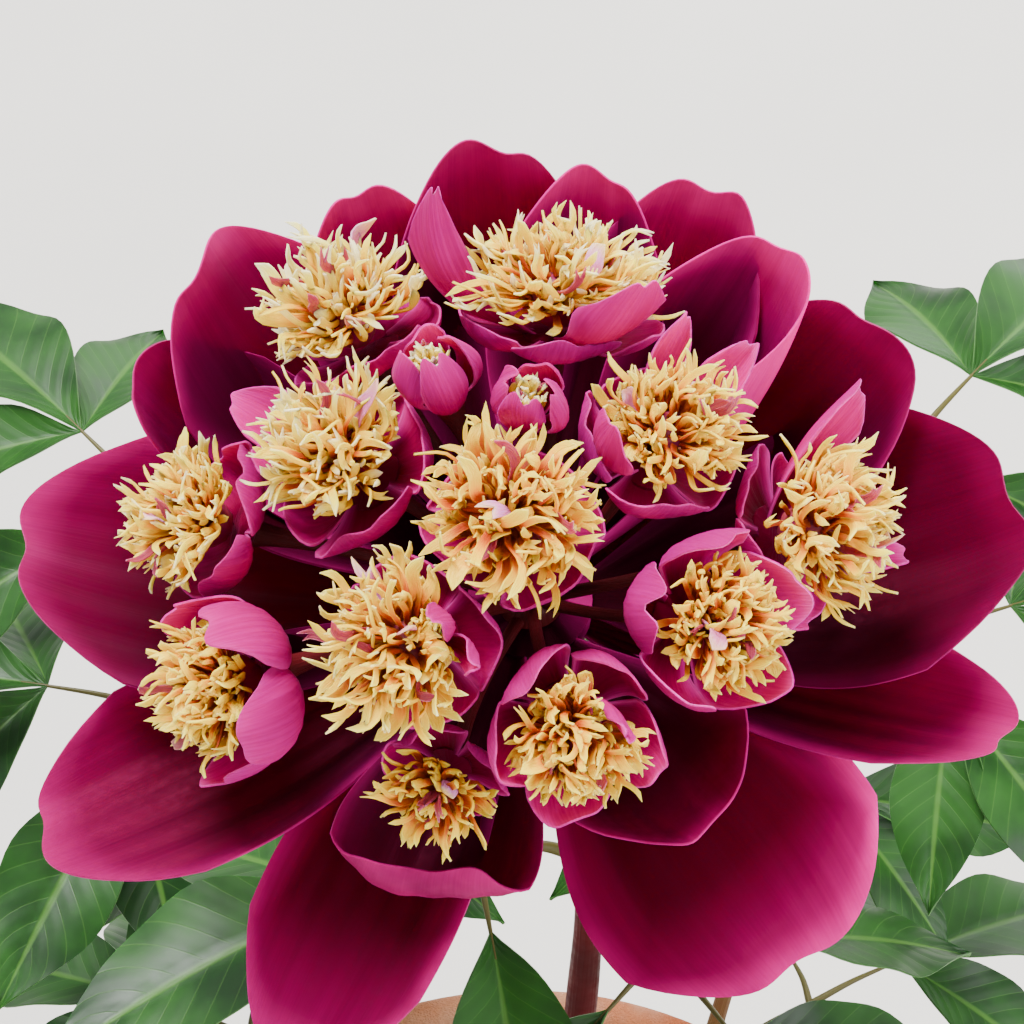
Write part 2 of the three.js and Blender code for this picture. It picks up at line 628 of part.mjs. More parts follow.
// A tuft is a small dome whose upper faces are each drawn out into a staminode.
function makeTuft(floret) {
  const { radius, cup, frame, index, stretch } = floret;
  const width = byCup(CORE.width, cup) * radius;
  const draw = seededDraw(TUFT.seed * (index + 1));
  const walls = wallsOf(floret);
  const reach = byCup(TUFT.reach, cup) * radius;
  const margin = byCup(TUFT.margin, cup);
  const dome = new THREE.IcosahedronGeometry(1, Math.ceil(byCup(TUFT.detail, cup))).attributes.position;
  const clear = (local) => {
    const point = local.clone().applyMatrix4(frame);
    return walls.every((wall) => wall.distanceToPoint(point) < -margin);
  };
  const positions = [];
  const triangle = (a, b, c) => positions.push(...a.toArray(), ...b.toArray(), ...c.toArray());
  const onCore = ({ x, y, z }) =>
    new THREE.Vector3(x * width * stretch, y * width, (z * CORE.height + CORE.middle) * radius);
  for (let i = 0; i < dome.count; i += 3) {
    const raw = [0, 1, 2].map((k) => new THREE.Vector3().fromBufferAttribute(dome, i + k));
    const base = raw.map(onCore);
    const way = raw[0].clone().add(raw[1]).add(raw[2]).normalize();
    const draws = [draw(), draw(), draw()];
    if (way.z < byCup(TUFT.lowest, cup)) {
      triangle(...base);
      continue;
    }
    const root = base[0].clone().add(base[1]).add(base[2]).divideScalar(3);
    const full = new THREE.Vector3(way.x * reach * stretch, way.y * reach, way.z * reach).sub(root);
    full.multiplyScalar(lerp(TUFT.shortest, 1, draws[0]));
    const lean = new THREE.Vector3(draws[1] - 0.5, draws[2] - 0.5, 0).cross(way);
    lean.multiplyScalar(TUFT.spread * full.length());
    const at = (share) => root.clone().addScaledVector(full, share).addScaledVector(lean, share);
    const clears = (share) => clear(at(share)) && clear(at(TUFT.checkedShare * share));
    let length = 1;
    while (length > TUFT.leastLength && !clears(length)) length -= TUFT.trim;
    const tip = at(length);
    const wide = base[1].clone().sub(base[0]).multiplyScalar(TUFT.tipWidth / 2);
    const [left, right] = [tip.clone().sub(wide), tip.clone().add(wide)];
    triangle(base[0], base[1], right);
    triangle(base[0], right, left);
    triangle(base[1], base[2], right);
    triangle(base[2], base[0], left);
    triangle(base[2], left, right);
  }
  const geometry = new THREE.BufferGeometry();
  geometry.setAttribute("position", new THREE.Float32BufferAttribute(positions, 3));
  return solidFrom(geometry).transform(frame.elements);
}

// Sepals: a ring of green leaflets under the petals

function makeSepals() {
  const { radius, bottom } = SEPAL_RING;
  const { count, turn, rootDepth, bow, tip, uneven, width, fold, claw, rows, columns } = SEPALS;
  const sepals = [];
  for (let k = 0; k < count; k++) {
    const surface = petalSurface({
      azimuth: turn + (360 * k) / count,
      root: [radius - rootDepth, bottom + rootDepth],
      bow: [radius + bow[0], bottom + bow[1]],
      tip: [radius + tip[0] + uneven[0] * (k % 2), bottom + tip[1] - uneven[1] * (k % 3)],
      width,
      fold,
      claw,
    });
    sepals.push(blade(surface, rows, columns, PETAL.thickness));
  }
  return joined([ringRoundReceptacle(SEPAL_RING), ...sepals]);
}

// Stems: the flowering one, with its side branch, receptacle and the florets' stalks, and the leafy shoots

const neck = new THREE.Vector3(0, 0, RECEPTACLE.bottom + RECEPTACLE.stemDepth).applyMatrix4(headMatrix);
const stems = { flower_stem: { ...MAIN_STEM, curve: curveThrough([...MAIN_STEM.path, neck.toArray()]) } };
for (const [name, path] of Object.entries(SHOOT_PATHS)) {
  stems[name] = { ...SHOOT, curve: curveThrough(path) };
}

// The middle of a stem's faceted tube at a share of its length, its radius there and its direction.
function placeOnStem({ curve, radii, steps }, at) {
  const lower = Math.floor(at * steps);
  const from = curve.getPointAt(lower / steps);
  const to = curve.getPointAt((lower + 1) / steps);
  return {
    point: from.clone().lerp(to, at * steps - lower),
    upStem: to.sub(from).normalize(),
    radius: lerp(...radii, at),
  };
}

function makeFlowerStem() {
  const { radius, top, shoulder, waist, bottom, neckRadius, crownRadius, sides } = RECEPTACLE;
  const flank = [[neckRadius, bottom], [radius, waist], [radius, shoulder], [crownRadius, top]];
  const receptacle = turnedSolid([[0, bottom], ...flank, [0, top]], sides);
  const pedicels = florets.map((floret) => {
    const foot = floret.axis.clone().multiplyScalar(PEDICEL.root);
    const underPlate = plateHeight(floret) - PETAL.thickness / 2 - SEAT_GAP;
    const end = floret.axis.clone().multiplyScalar(floret.distance + underPlate);
    const radii = [PEDICEL.radius, PEDICEL.radius];
    return taperedTube(new THREE.LineCurve3(foot, end), { radii, sides: PEDICEL.sides, steps: 1 });
  });
  const head = joined([receptacle, ...pedicels]).transform(headMatrix.elements);
  const main = taperedTube(stems.flower_stem.curve, MAIN_STEM);
  return joined([main, taperedTube(curveThrough(SIDE_STEM.path), SIDE_STEM), head]);
}

// A compound leaf: one thin sheet, whose stalk parts in arms, each ending in its leaflets

// A frame turned by yaw about its upward side and then nosed down by pitch.
function turned(frame, yaw, pitch) {
  const forward = frame.forward.clone().applyAxisAngle(frame.upward, degToRad(yaw));
  const side = new THREE.Vector3().crossVectors(frame.upward, forward);
  const upward = frame.upward.clone().applyAxisAngle(side, degToRad(pitch));
  return { forward: forward.applyAxisAngle(side, degToRad(pitch)), upward };
}

// A pointed leaflet with its midrib sunk, its two halves raised, its edge waved and its tip drooping.
function leafletSurface(root, { upward, forward }, length) {
  const sideways = new THREE.Vector3().crossVectors(upward, forward);
  const { halfWidth, taper, lift, wave, waves, droop } = LEAFLET;
  return (u, v) => {
    const half = halfWidth * length * Math.sin(Math.PI * u) ** taper;
    const rise = lift * half * Math.abs(v) + length * (wave * Math.sin(waves * u) * v * v - droop * u * u);
    return root
      .clone()
      .addScaledVector(forward, length * u)
      .addScaledVector(sideways, half * v)
      .addScaledVector(upward, rise);
  };
}

// Adds a leaf's stalk from its seat on the stem to its node. Returns the node's edges and frame.
function addStalk(sheet, { stem, at, azimuth, climb, stalk }) {
  const { point: base, upStem, radius } = placeOnStem(stems[stem], at);
  const level = { forward: direction(azimuth, 90), upward: UPWARD };
  const out = turned(level, 0, -climb);
  const far = turned(level, 0, -STALK.farClimb * climb);
  const offStem = out.forward.clone().projectOnPlane(upStem).normalize();
  const seat = { forward: offStem, upward: upStem };
  const skin = base.clone().addScaledVector(offStem, radius + SEAT_GAP);
  const knee = base.clone().addScaledVector(out.forward, STALK.kneeShare * stalk);
  const node = knee.clone().addScaledVector(far.forward, (1 - STALK.kneeShare) * stalk);
  const stations = [
    [skin, seat],
    [skin.clone().addScaledVector(offStem, STALK.seatLength), seat],
    [knee, out],
    [node, far],
  ];
  const edges = stations.map(([centre, frame], k) =>
    sheet.addEdge(centre, frame, STALK.sizes[k] * STALK.width, STALK.sizes[k] * STALK.thickness));
  for (let k = 1; k < edges.length; k++) sheet.bridge(edges[k - 1], edges[k]);
  return { far, parting: sheet.plateBeyond(edges[3], node, far, ARM.width, ARM.width) };
}

function makeLeaf(leaf) {
  const sheet = new Sheet();
  const { far, parting } = addStalk(sheet, leaf);
  for (const { side, yaw, pitch, share, scale } of leaf.leaflets > 3 ? ARMS : ARMS.slice(0, 1)) {
    const arm = turned(far, yaw, pitch);
    const end = sheet.middleOf(parting[side]).addScaledVector(arm.forward, share * leaf.length);
    const armEnd = sheet.addEdge(end, arm, ARM.width, ARM.endThickness);
    sheet.bridge(parting[side], armEnd);
    const joint = sheet.plateBeyond(armEnd, end, arm, ARM.width, LEAFLET.thickness);
    const length = leaf.length * scale;
    const borne = [{ hand: 0, way: turned(arm, 0, LEAFLET.endPitch), length }];
    for (const hand of [1, -1]) {
      const outer = side !== 0;
      if (outer && (leaf.leaflets < 7 || hand !== side)) continue;
      const way = turned(arm, hand * (outer ? LATERAL.outerYaw : LATERAL.yaw), LATERAL.pitch);
      borne.push({ hand, way, length: length * LATERAL.scale });
    }
    for (const leaflet of borne) {
      const edge = joint[leaflet.hand];
      const surface = leafletSurface(sheet.middleOf(edge), leaflet.way, leaflet.length);
      sheet.lobe(edge, surface, LEAFLET.rows, true, LEAFLET.thickness);
    }
  }
  return sheet.thickened();
}

// Pot and soil

const bandFoot = POT.height - POT.bandHeight;
// Where the pot's inside turns from its slope to the band.
const knee = { radius: POT.bandRadius - POT.wall - POT.lip, height: bandFoot + POT.edge };

function makePot() {
  const { height, footRadius, shoulderRadius, bandRadius, wall, floor, flare, taper, edge } = POT;
  const profile = [
    [0, 0],
    [footRadius - edge, 0],
    [footRadius, edge],
    [shoulderRadius, bandFoot],
    [bandRadius, bandFoot + edge],
    [bandRadius + flare, height - edge],
    [bandRadius, height],
    [knee.radius + edge, height],
    [knee.radius + taper, height - edge],
    [knee.radius, knee.height],
    [footRadius - wall, floor],
    [0, floor],
  ];
  let pot = turnedSolid(profile, POT.sides);
  for (let k = 0; k < POT.drainCount; k++) {
    const drain = new THREE.CylinderGeometry(POT.drainRadius, POT.drainRadius, 3 * floor, POT.drainSides);
    drain.rotateX(Math.PI / 2);
    drain.translate(...direction((360 * (k + 0.5)) / POT.drainCount, 90).multiplyScalar(POT.drainCircle));
    pot = pot.subtract(solidFrom(drain));
  }
  return pot;
}

function makeSoil(holes) {
  const foot = POT.footRadius - POT.wall - 2 * SEAT_GAP;
  const rim = knee.radius - 2 * SEAT_GAP;
  const profile = [
    [0, POT.floor + SEAT_GAP],
    [foot, POT.floor + SEAT_GAP],
    [rim, knee.height],
    [rim, SOIL.level],
    ...SOIL.slope.map(([share, rise]) => [share * rim, SOIL.level + rise * SOIL.mound]),
    [0, SOIL.level + SOIL.mound],
  ];
  return holes.reduce((soil, hole) => soil.subtract(hole), turnedSolid(profile, POT.sides));
}

// The hole that a stem stands in: its own tube, a little wider and deeper.
function holeFor({ curve, radii, sides, steps }) {
  const hole = taperedTube(curve, { radii: radii.map((r) => r + SEAT_GAP), sides, steps });
  return joined([hole, hole.translate([0, 0, -SEAT_GAP])]);
}

// The whole plant

const peony = new THREE.Group();
peony.add(namedMesh("pot", makePot(), CLAY));
peony.add(namedMesh("soil", makeSoil(Object.values(stems).map(holeFor)), EARTH));
peony.add(namedMesh("flower_stem", makeFlowerStem(), RED_STEM));
for (const name of Object.keys(SHOOT_PATHS)) {
  peony.add(namedMesh(name, taperedTube(stems[name].curve, SHOOT), GREEN_STEM));
}
LEAVES.forEach((leaf, k) => {
  peony.add(namedMesh(`leaf_${String(k + 1).padStart(2, "0")}`, makeLeaf(leaf), LEAF_GREEN));
});

const head = new THREE.Group();
head.position.set(HEAD.x, HEAD.y, HEAD.z);
head.rotation.x = HEAD.lean;
head.add(namedMesh("sepals", makeSepals(), SEPAL_GREEN));
head.add(namedMesh("guard_petals", makeGuardPetals(), GUARD_CRIMSON));
for (const floret of florets) {
  head.add(namedMesh(`collar_${floret.name}`, makeCollar(floret), COLLAR_MAGENTA));
  head.add(namedMesh(`tuft_${floret.name}`, makeTuft(floret), STAMINODE_YELLOW));
}
peony.add(head);

export default peony;
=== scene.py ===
"""Dresses the potted red peony on its frame: petals, staminodes, leaves, stems, soil and clay."""

import logging
import math
from dataclasses import dataclass, field
from enum import Enum
from functools import partial
from typing import Callable

import bpy
import numpy as np
from mathutils import Matrix, Vector


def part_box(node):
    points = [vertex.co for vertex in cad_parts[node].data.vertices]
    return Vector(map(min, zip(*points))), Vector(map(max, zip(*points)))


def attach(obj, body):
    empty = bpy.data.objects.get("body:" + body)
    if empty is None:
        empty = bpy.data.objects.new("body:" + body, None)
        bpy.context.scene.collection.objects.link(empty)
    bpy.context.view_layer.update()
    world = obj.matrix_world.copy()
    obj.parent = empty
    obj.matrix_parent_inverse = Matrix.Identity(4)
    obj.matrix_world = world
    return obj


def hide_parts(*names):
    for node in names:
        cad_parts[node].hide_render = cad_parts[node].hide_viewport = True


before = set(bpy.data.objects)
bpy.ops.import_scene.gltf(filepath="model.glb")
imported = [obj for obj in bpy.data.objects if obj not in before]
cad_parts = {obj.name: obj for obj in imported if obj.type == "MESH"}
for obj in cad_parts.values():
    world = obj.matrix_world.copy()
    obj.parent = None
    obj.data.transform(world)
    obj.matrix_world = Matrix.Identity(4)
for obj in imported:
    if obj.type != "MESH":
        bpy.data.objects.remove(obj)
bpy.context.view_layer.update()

log = logging.getLogger("peony")

# Short names for types

Array = np.ndarray
Surface = Callable[[Array, Array], Array]
Pair = tuple[float, float]
Triple = tuple[float, float, float]
Draw = np.random.Generator
Piece = bpy.types.Object
Material = bpy.types.Material
Tree = bpy.types.NodeTree
Socket = bpy.types.NodeSocket
Outputs = bpy.types.bpy_prop_collection

# Fixed values

UP = np.array([0.0, 0.0, 1.0])
MERGE = 1e-6
SEAT_GAP = 0.0003
PETAL_THICKNESS = 0.0008
GOLDEN_ANGLE = 137.508
SEAM_ANGLE = 50.0
ASLANT = np.array([0.31, 0.52, 0.8])


class Slot(Enum):
    """The material slots of the plant and its pot."""

    CLAY = "terracotta"
    SOIL = "potting_soil"
    RED_STEM = "red_stem"
    GREEN_STEM = "green_stem"
    LEAF = "leaf"
    SEPAL = "sepal"
    GUARD = "guard_petal"
    COLLAR = "collar_petal"
    STAMINODE = "staminode"


class Whorl(Enum):
    """The two rings of guard petals."""

    OUTER = 1
    INNER = 0


# Directions, turns and curves


def direction(azimuth: float, lean: float = 90.0) -> Array:
    """Gives the unit direction at an azimuth from +X and a lean from +Z.

    Args:
        azimuth: degrees from +X towards +Y.
        lean: degrees from +Z.

    Returns:
        A vector of three numbers.
    """
    around, down = math.radians(azimuth), math.radians(lean)
    level = math.sin(down)
    return np.array([level * math.cos(around), level * math.sin(around), math.cos(down)])


def unit(vectors: Array) -> Array:
    """Scales each vector of the last axis to length 1."""
    return vectors / np.maximum(np.linalg.norm(vectors, axis=-1, keepdims=True), 1e-12)


def rotation(axis: Array, degrees: float) -> Array:
    """Gives the 3x3 matrix that turns about an axis through the origin."""
    return np.array(Matrix.Rotation(math.radians(degrees), 3, Vector(axis)))


def spread(values: Triple, cup: float) -> float:
    """Reads a value between those of an open floret (cup 0), a cup (1) and a bud (2)."""
    return float(np.interp(cup, [0, 1, 2], values))


class Curve:
    """A smooth line through points, measured evenly along its length."""

    def __init__(self, points: list[Triple], samples: int = 60) -> None:
        """Runs a centripetal Catmull-Rom curve through the points.

        Args:
            points: the places that the line passes.
            samples: how many short steps stand for the line between two points.
        """
        given = np.array(points, float)
        knots = np.vstack([2 * given[0] - given[1], given, 2 * given[-1] - given[-2]])
        line = [given[0]]
        for k in range(1, len(knots) - 2):
            a, b, c, d = knots[k - 1 : k + 3]
            first, second, third = (math.sqrt(np.linalg.norm(q - p)) for p, q in ((a, b), (b, c), (c, d)))
            leave = second * ((b - a) / first - (c - a) / (first + second) + (c - b) / second)
            arrive = second * ((c - b) / second - (d - b) / (second + third) + (d - c) / third)
            t = np.linspace(0, 1, samples + 1)[1:, None]
            cubic = (2 * t**3 - 3 * t**2 + 1) * b + (t**3 - 2 * t**2 + t) * leave
            line.extend(cubic + (3 * t**2 - 2 * t**3) * c + (t**3 - t**2) * arrive)
        self.line = np.array(line)
        steps = np.linalg.norm(np.diff(self.line, axis=0), axis=1)
        self.travelled = np.concatenate([[0], np.cumsum(steps)]) / steps.sum()

    def at(self, share: Array | float) -> Array:
        """Gives the points at shares of the length from 0 to 1."""
        return np.stack([np.interp(share, self.travelled, self.line[:, k]) for k in range(3)], axis=-1)

    def heading(self, share: float) -> Array:
        """Gives the line's direction at a share of its length."""
        step = 0.01
        return unit(self.at(min(share + step, 1)) - self.at(max(share - step, 0)))


# Making pieces


def deselect() -> None:
    """Clears the selection, because an operator acts on all that is selected."""
    bpy.ops.object.select_all(action="DESELECT")


def work_on(piece: Piece) -> None:
    """Makes a piece the only selected and active one.

    Args:
        piece: the piece.
    """
    deselect()
    piece.select_set(True)
    bpy.context.view_layer.objects.active = piece


def corners_of(piece: Piece) -> Array:
    """Reads the corners of a piece's mesh.

    Args:
        piece: the piece.

    Returns:
        The corners as rows of three numbers.
    """
    flat = np.empty(len(piece.data.vertices) * 3, np.float32)
    piece.data.vertices.foreach_get("co", flat)
    return flat.reshape(-1, 3).astype(float)


def put_corners(piece: Piece, corners: Array) -> None:
    """Writes the corners of a piece's mesh from rows of three numbers."""
    piece.data.vertices.foreach_set("co", corners.astype(np.float32).ravel())
    piece.data.update()


def faces_of(piece: Piece) -> Array:
    """Reads a piece's faces, which all have as many sides, as rows of corner numbers."""
    return np.array([list(face.vertices) for face in piece.data.polygons])


def moved(piece: Piece, place: Callable[[Array], Array]) -> Piece:
    """Takes a piece's corners from one frame to another."""
    put_corners(piece, place(corners_of(piece)))
    return piece


def mark(piece: Piece, name: str, values: Array | float) -> None:
    """Keeps a number for each corner under a name that a material can read."""
    numbers = np.broadcast_to(np.asarray(values, np.float32), len(piece.data.vertices))
    piece.data.attributes.new(name, "FLOAT", "POINT").data.foreach_set("value", numbers.copy())


def linked(name: str, data: bpy.types.ID) -> bpy.types.Object:
    """Puts a mesh, a lamp or a camera in the scene.

    Args:
        name: the new object's name.
        data: what it holds.

    Returns:
        The object.
    """
    holder = bpy.data.objects.new(name, data)
    bpy.context.scene.collection.objects.link(holder)
    return holder


def repeated(name: str, corners: Array, faces: Array) -> Piece:
    """Makes one piece of many copies of a pattern.

    Args:
        name: the piece's name.
        corners: the corners of each copy, counted by copy, corner and coordinate.
        faces: the pattern's faces, as rows of corner numbers.

    Returns:
        The piece.
    """
    first = np.arange(len(corners)) * corners.shape[1]
    all_faces = (faces[None] + first[:, None, None]).reshape(-1, faces.shape[1])
    mesh = bpy.data.meshes.new(name)
    mesh.from_pydata(corners.reshape(-1, 3).tolist(), [], all_faces.tolist())
    return linked(name, mesh)


def edit_whole() -> None:
    """Enters edit mode with the whole of the active mesh selected."""
    bpy.ops.object.mode_set(mode="EDIT")
    bpy.ops.mesh.select_all(action="SELECT")


def leave_facing_outward() -> None:
    """Turns the normals of the mesh in edit mode outward and leaves edit mode."""
    bpy.ops.mesh.select_all(action="SELECT")
    bpy.ops.mesh.normals_make_consistent(inside=False)
    bpy.ops.object.mode_set(mode="OBJECT")


def laid_grid(name: str, lay: Surface, along: int, across: int) -> Piece:
    """Lays a grid on a surface and merges the corners that meet.

    Args:
        name: the piece's name.
        lay: the surface, from u (0 at the root, 1 at the tip) and v (-1 to 1 across).
        along: the grid's steps from root to tip.
        across: its steps from side to side.

    Returns:
        The open piece, whose UV runs across it and along it.
    """
    deselect()
    bpy.ops.mesh.primitive_grid_add(x_subdivisions=across, y_subdivisions=along, size=1.0)
    piece = bpy.context.object
    piece.name = name
    moved(piece, lambda flat: lay(flat[:, 1] + 0.5, -2 * flat[:, 0]))
    edit_whole()
    bpy.ops.mesh.remove_doubles(threshold=MERGE)
    bpy.ops.object.mode_set(mode="OBJECT")
    return piece


def laid_sheet(name: str, lay: Surface, steps: tuple[int, int], thickness: float) -> Piece:
    """Lays a grid on a surface and gives it a thickness.

    Args:
        name: the piece's name.
        lay: the surface, as for laid_grid.
        steps: the grid's steps from root to tip and from side to side.
        thickness: of the finished sheet.

    Returns:
        A closed piece whose corners say which face they lie on under "underside".
    """
    piece = laid_grid(name, lay, *steps)
    upper = len(piece.data.vertices)
    wall = piece.modifiers.new("wall", "SOLIDIFY")
    wall.thickness = thickness
    wall.offset = 0
    bpy.ops.object.modifier_apply(modifier="wall")
    mark(piece, "underside", np.arange(len(piece.data.vertices)) >= upper)
    return piece


def laid_tube(name: str, line: Array, radii: Array, sides: int) -> Piece:
    """Wraps a grid round a line and closes its ends.

    Args:
        name: the piece's name.
        line: the points of the line, as rows.
        radii: the radius at each point.
        sides: the number of the tube's sides.

    Returns:
        A closed piece whose UV runs round it and along it.
    """
    headings = unit(np.gradient(line, axis=0))
    normals = [unit(np.cross(headings[0], ASLANT))]
    for heading in headings[1:]:
        normals.append(unit(normals[-1] - heading * np.dot(normals[-1], heading)))
    first = np.array(normals)
    second = np.cross(headings, first)
    steps = len(line) - 1

    def lay(u: Array, v: Array) -> Array:
        """Places the grid on the tube, turned against v.

        Args:
            u: from 0 at the tube's start to 1 at its end.
            v: from -1 to 1 round it.

        Returns:
            The points as rows.
        """
        row = np.rint(u * steps).astype(int)
        angle = -np.pi * v[:, None]
        return line[row] + radii[row, None] * (np.cos(angle) * first[row] + np.sin(angle) * second[row])

    piece = laid_grid(name, lay, steps, sides)
    edit_whole()
    bpy.ops.mesh.fill_holes(sides=0)
    leave_facing_outward()
    return piece


def turned_piece(name: str, rings: list[Pair], sides: int) -> Piece:
    """Turns a solid as on a wheel: a disc is extruded from ring to ring.

    Args:
        name: the piece's name.
        rings: radius and height of each ring, from the disc that is the foot to the one that closes it.
        sides: the number of corners in a ring.

    Returns:
        A closed piece round the Z axis.
    """
    deselect()
    radius, height = rings[0]
    foot = (0, 0, height)
    bpy.ops.mesh.primitive_circle_add(vertices=sides, radius=radius, fill_type="NGON", location=foot)
    piece = bpy.context.object
    piece.name = name
    bpy.ops.object.transform_apply(location=True, rotation=True, scale=True)
    edit_whole()
    for next_radius, next_height in rings[1:]:
        bpy.ops.mesh.extrude_region_move(TRANSFORM_OT_translate={"value": (0, 0, next_height - height)})
        scale = next_radius / radius
        bpy.ops.transform.resize(value=(scale, scale, 1), center_override=(0, 0, next_height))
        radius, height = next_radius, next_height
    leave_facing_outward()
    return piece


def ball(name: str, subdivisions: int) -> Piece:
    """Makes a ball of radius 1 round the origin.

    Args:
        name: the piece's name.
        subdivisions: how finely it is divided.

    Returns:
        The ball.
    """
    deselect()
    bpy.ops.mesh.primitive_ico_sphere_add(subdivisions=subdivisions, radius=1.0)
    bpy.context.object.name = name
    return bpy.context.object


def joined(name: str, pieces: list[Piece], angle: float = 60.0) -> Piece:
    """Joins pieces in one and smooths its shading below an angle.

    Args:
        name: the name of the joined piece.
        pieces: what it is joined from.
        angle: edges sharper than this, in degrees, stay sharp.

    Returns:
        The joined piece.
    """
    work_on(pieces[0])
    for piece in pieces[1:]:
        piece.select_set(True)
    if len(pieces) > 1:
        bpy.ops.object.join()
    bpy.ops.object.shade_smooth_by_angle(angle=math.radians(angle))
    pieces[0].name = name
    return pieces[0]


def mounted(piece: Piece, nodes: list[str], material: Material) -> None:
    """Gives a piece its finish and its place in the object.

    Args:
        piece: the finished piece.
        nodes: the frame's nodes that it stands for.
        material: its finish.
    """
    piece.data.materials.clear()
    piece.data.materials.append(material)
    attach(piece, "root")
    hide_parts(*nodes)
    log.info("%s: %d faces for %s", piece.name, len(piece.data.polygons), ", ".join(nodes))


# Finishes


def shade(code: str) -> tuple[float, float, float, float]:
    """Turns a colour written as six hexadecimal digits into the linear colour that a shader takes."""
    parts = [int(code[k : k + 2], 16) / 255 for k in (0, 2, 4)]
    return (*(p / 12.92 if p <= 0.04045 else ((p + 0.055) / 1.055) ** 2.4 for p in parts), 1.0)


class NodeSheet:
    """A node tree with short ways to add to it. A colour may be given as six hexadecimal digits."""

    def __init__(self, tree: Tree) -> None:
        """Keeps the tree that the nodes go in."""
        self.tree = tree

    def add(self, kind: str, settings: dict | None = None, inputs: dict | None = None) -> bpy.types.Node:
        """Adds a node.

        Args:
            kind: the node's type name, without its ShaderNode prefix.
            settings: its properties by name.
            inputs: values or outputs of other nodes for its inputs, by name or number.

        Returns:
            The new node.
        """
        node = self.tree.nodes.new(f"ShaderNode{kind}")
        for name, value in (settings or {}).items():
            setattr(node, name, value)
        for name, value in (inputs or {}).items():
            self.feed(node.inputs[name], value)
        return node

    def feed(self, socket: Socket, value: object) -> None:
        """Links an output to an input, or sets the input's own value.

        Args:
            socket: the input.
            value: an output, a value or a colour's digits.
        """
        if isinstance(value, Socket):
            self.tree.links.new(value, socket)
        else:
            socket.default_value = shade(value) if isinstance(value, str) else value

    def maths(self, operation: str, *values: object) -> Socket:
        """Does sums on values or outputs."""
        return self.add("Math", {"operation": operation}, dict(enumerate(values))).outputs[0]

    def times(self, first: object, second: object) -> Socket:
        """Multiplies two values."""
        return self.maths("MULTIPLY", first, second)

    def scaled(self, value: object, factor: object, added: object) -> Socket:
        """Multiplies a value by a factor and adds a third value."""
        return self.maths("MULTIPLY_ADD", value, factor, added)

    def greater(self, first: object, second: object) -> Socket:
        """Gives the greater of two values."""
        return self.maths("MAXIMUM", first, second)

    def left_of_one(self, value: object) -> Socket:
        """Takes a value from 1."""
        return self.maths("SUBTRACT", 1.0, value)

    def rise(self, value: object, low: float, high: float) -> Socket:
        """Goes smoothly from 0 to 1 as a value goes from low to high."""
        inputs = {"Value": value, "From Min": low, "From Max": high}
        return self.add("MapRange", {"interpolation_type": "SMOOTHSTEP"}, inputs).outputs[0]

    def mix(self, factor: object, first: object, second: object) -> Socket:
        """Mixes two colours by a factor."""
        return self.add("Mix", {"data_type": "RGBA"}, {0: factor, 6: first, 7: second}).outputs[2]

    def noise(self, vector: object, scale: object, detail: float) -> Socket:
        """Makes cloudy noise."""
        return self.add("TexNoise", None, {"Vector": vector, "Scale": scale, "Detail": detail}).outputs[0]

    def vector(self, **parts: object) -> Socket:
        """Makes a vector of the parts X, Y and Z that are given."""
        return self.add("CombineXYZ", None, parts).outputs[0]

    def held(self, name: str) -> Socket:
        """Reads the number that each corner keeps under a name."""
        return self.add("Attribute", {"attribute_name": name}).outputs["Fac"]

    def uv(self) -> Socket:
        """Reads the piece's own UV map: x across or round it, y along it."""
        return self.add("UVMap").outputs[0]

    def split(self, vector: Socket) -> Outputs:
        """Gives a vector's X, Y and Z outputs."""
        return self.add("SeparateXYZ", None, {0: vector}).outputs


def effect(name: str, inputs: dict[str, float], make: Callable[[NodeSheet, dict], dict]) -> Tree:
    """Builds a shared effect as a node group.

    Args:
        name: the group's name.
        inputs: its number inputs with their defaults. Each group also has a Vector input.
        make: adds the nodes and returns the outputs by name.

    Returns:
        The group.
    """
    tree = bpy.data.node_groups.new(name, "ShaderNodeTree")
    tree.interface.new_socket("Vector", in_out="INPUT", socket_type="NodeSocketVector")
    for label, value in inputs.items():
        tree.interface.new_socket(label, in_out="INPUT", socket_type="NodeSocketFloat").default_value = value
    entry = tree.nodes.new("NodeGroupInput")
    made = make(NodeSheet(tree), {socket.name: socket for socket in entry.outputs if socket.name})
    for label in made:
        tree.interface.new_socket(label, in_out="OUTPUT", socket_type="NodeSocketFloat")
    leave = tree.nodes.new("NodeGroupOutput")
    for label, socket in made.items():
        tree.links.new(socket, leave.inputs[label])
    return tree


def mottling(sheet: NodeSheet, given: dict) -> dict:
    """Makes soft patches and a fine grain in them.

    Args:
        sheet: the group's node sheet.
        given: the group's inputs by name.

    Returns:
        Its outputs by name.
    """
    finer = 9.0
    patches = sheet.noise(given["Vector"], given["Scale"], 4.0)
    grain = sheet.noise(given["Vector"], sheet.times(given["Scale"], finer), 3.0)
    return {"Patches": sheet.rise(patches, 0.32, 0.68), "Grain": sheet.rise(grain, 0.3, 0.7)}


def lengthwise_veins(sheet: NodeSheet, given: dict) -> dict:
    """Makes fine wandering lines that run along a petal or stem and fan out with it.

    Args:
        sheet: the group's node sheet.
        given: the group's inputs by name.

    Returns:
        Its outputs by name.
    """
    across, along, _ = sheet.split(given["Vector"])
    lines = sheet.vector(X=sheet.times(across, given["Count"]), Y=sheet.times(along, given["Wander"]))
    broader = 0.21
    fine, broad = sheet.noise(lines, 1.0, 3.0), sheet.noise(lines, broader, 1.0)
    return {"Lines": sheet.rise(fine, 0.34, 0.66), "Bands": sheet.rise(broad, 0.3, 0.7)}


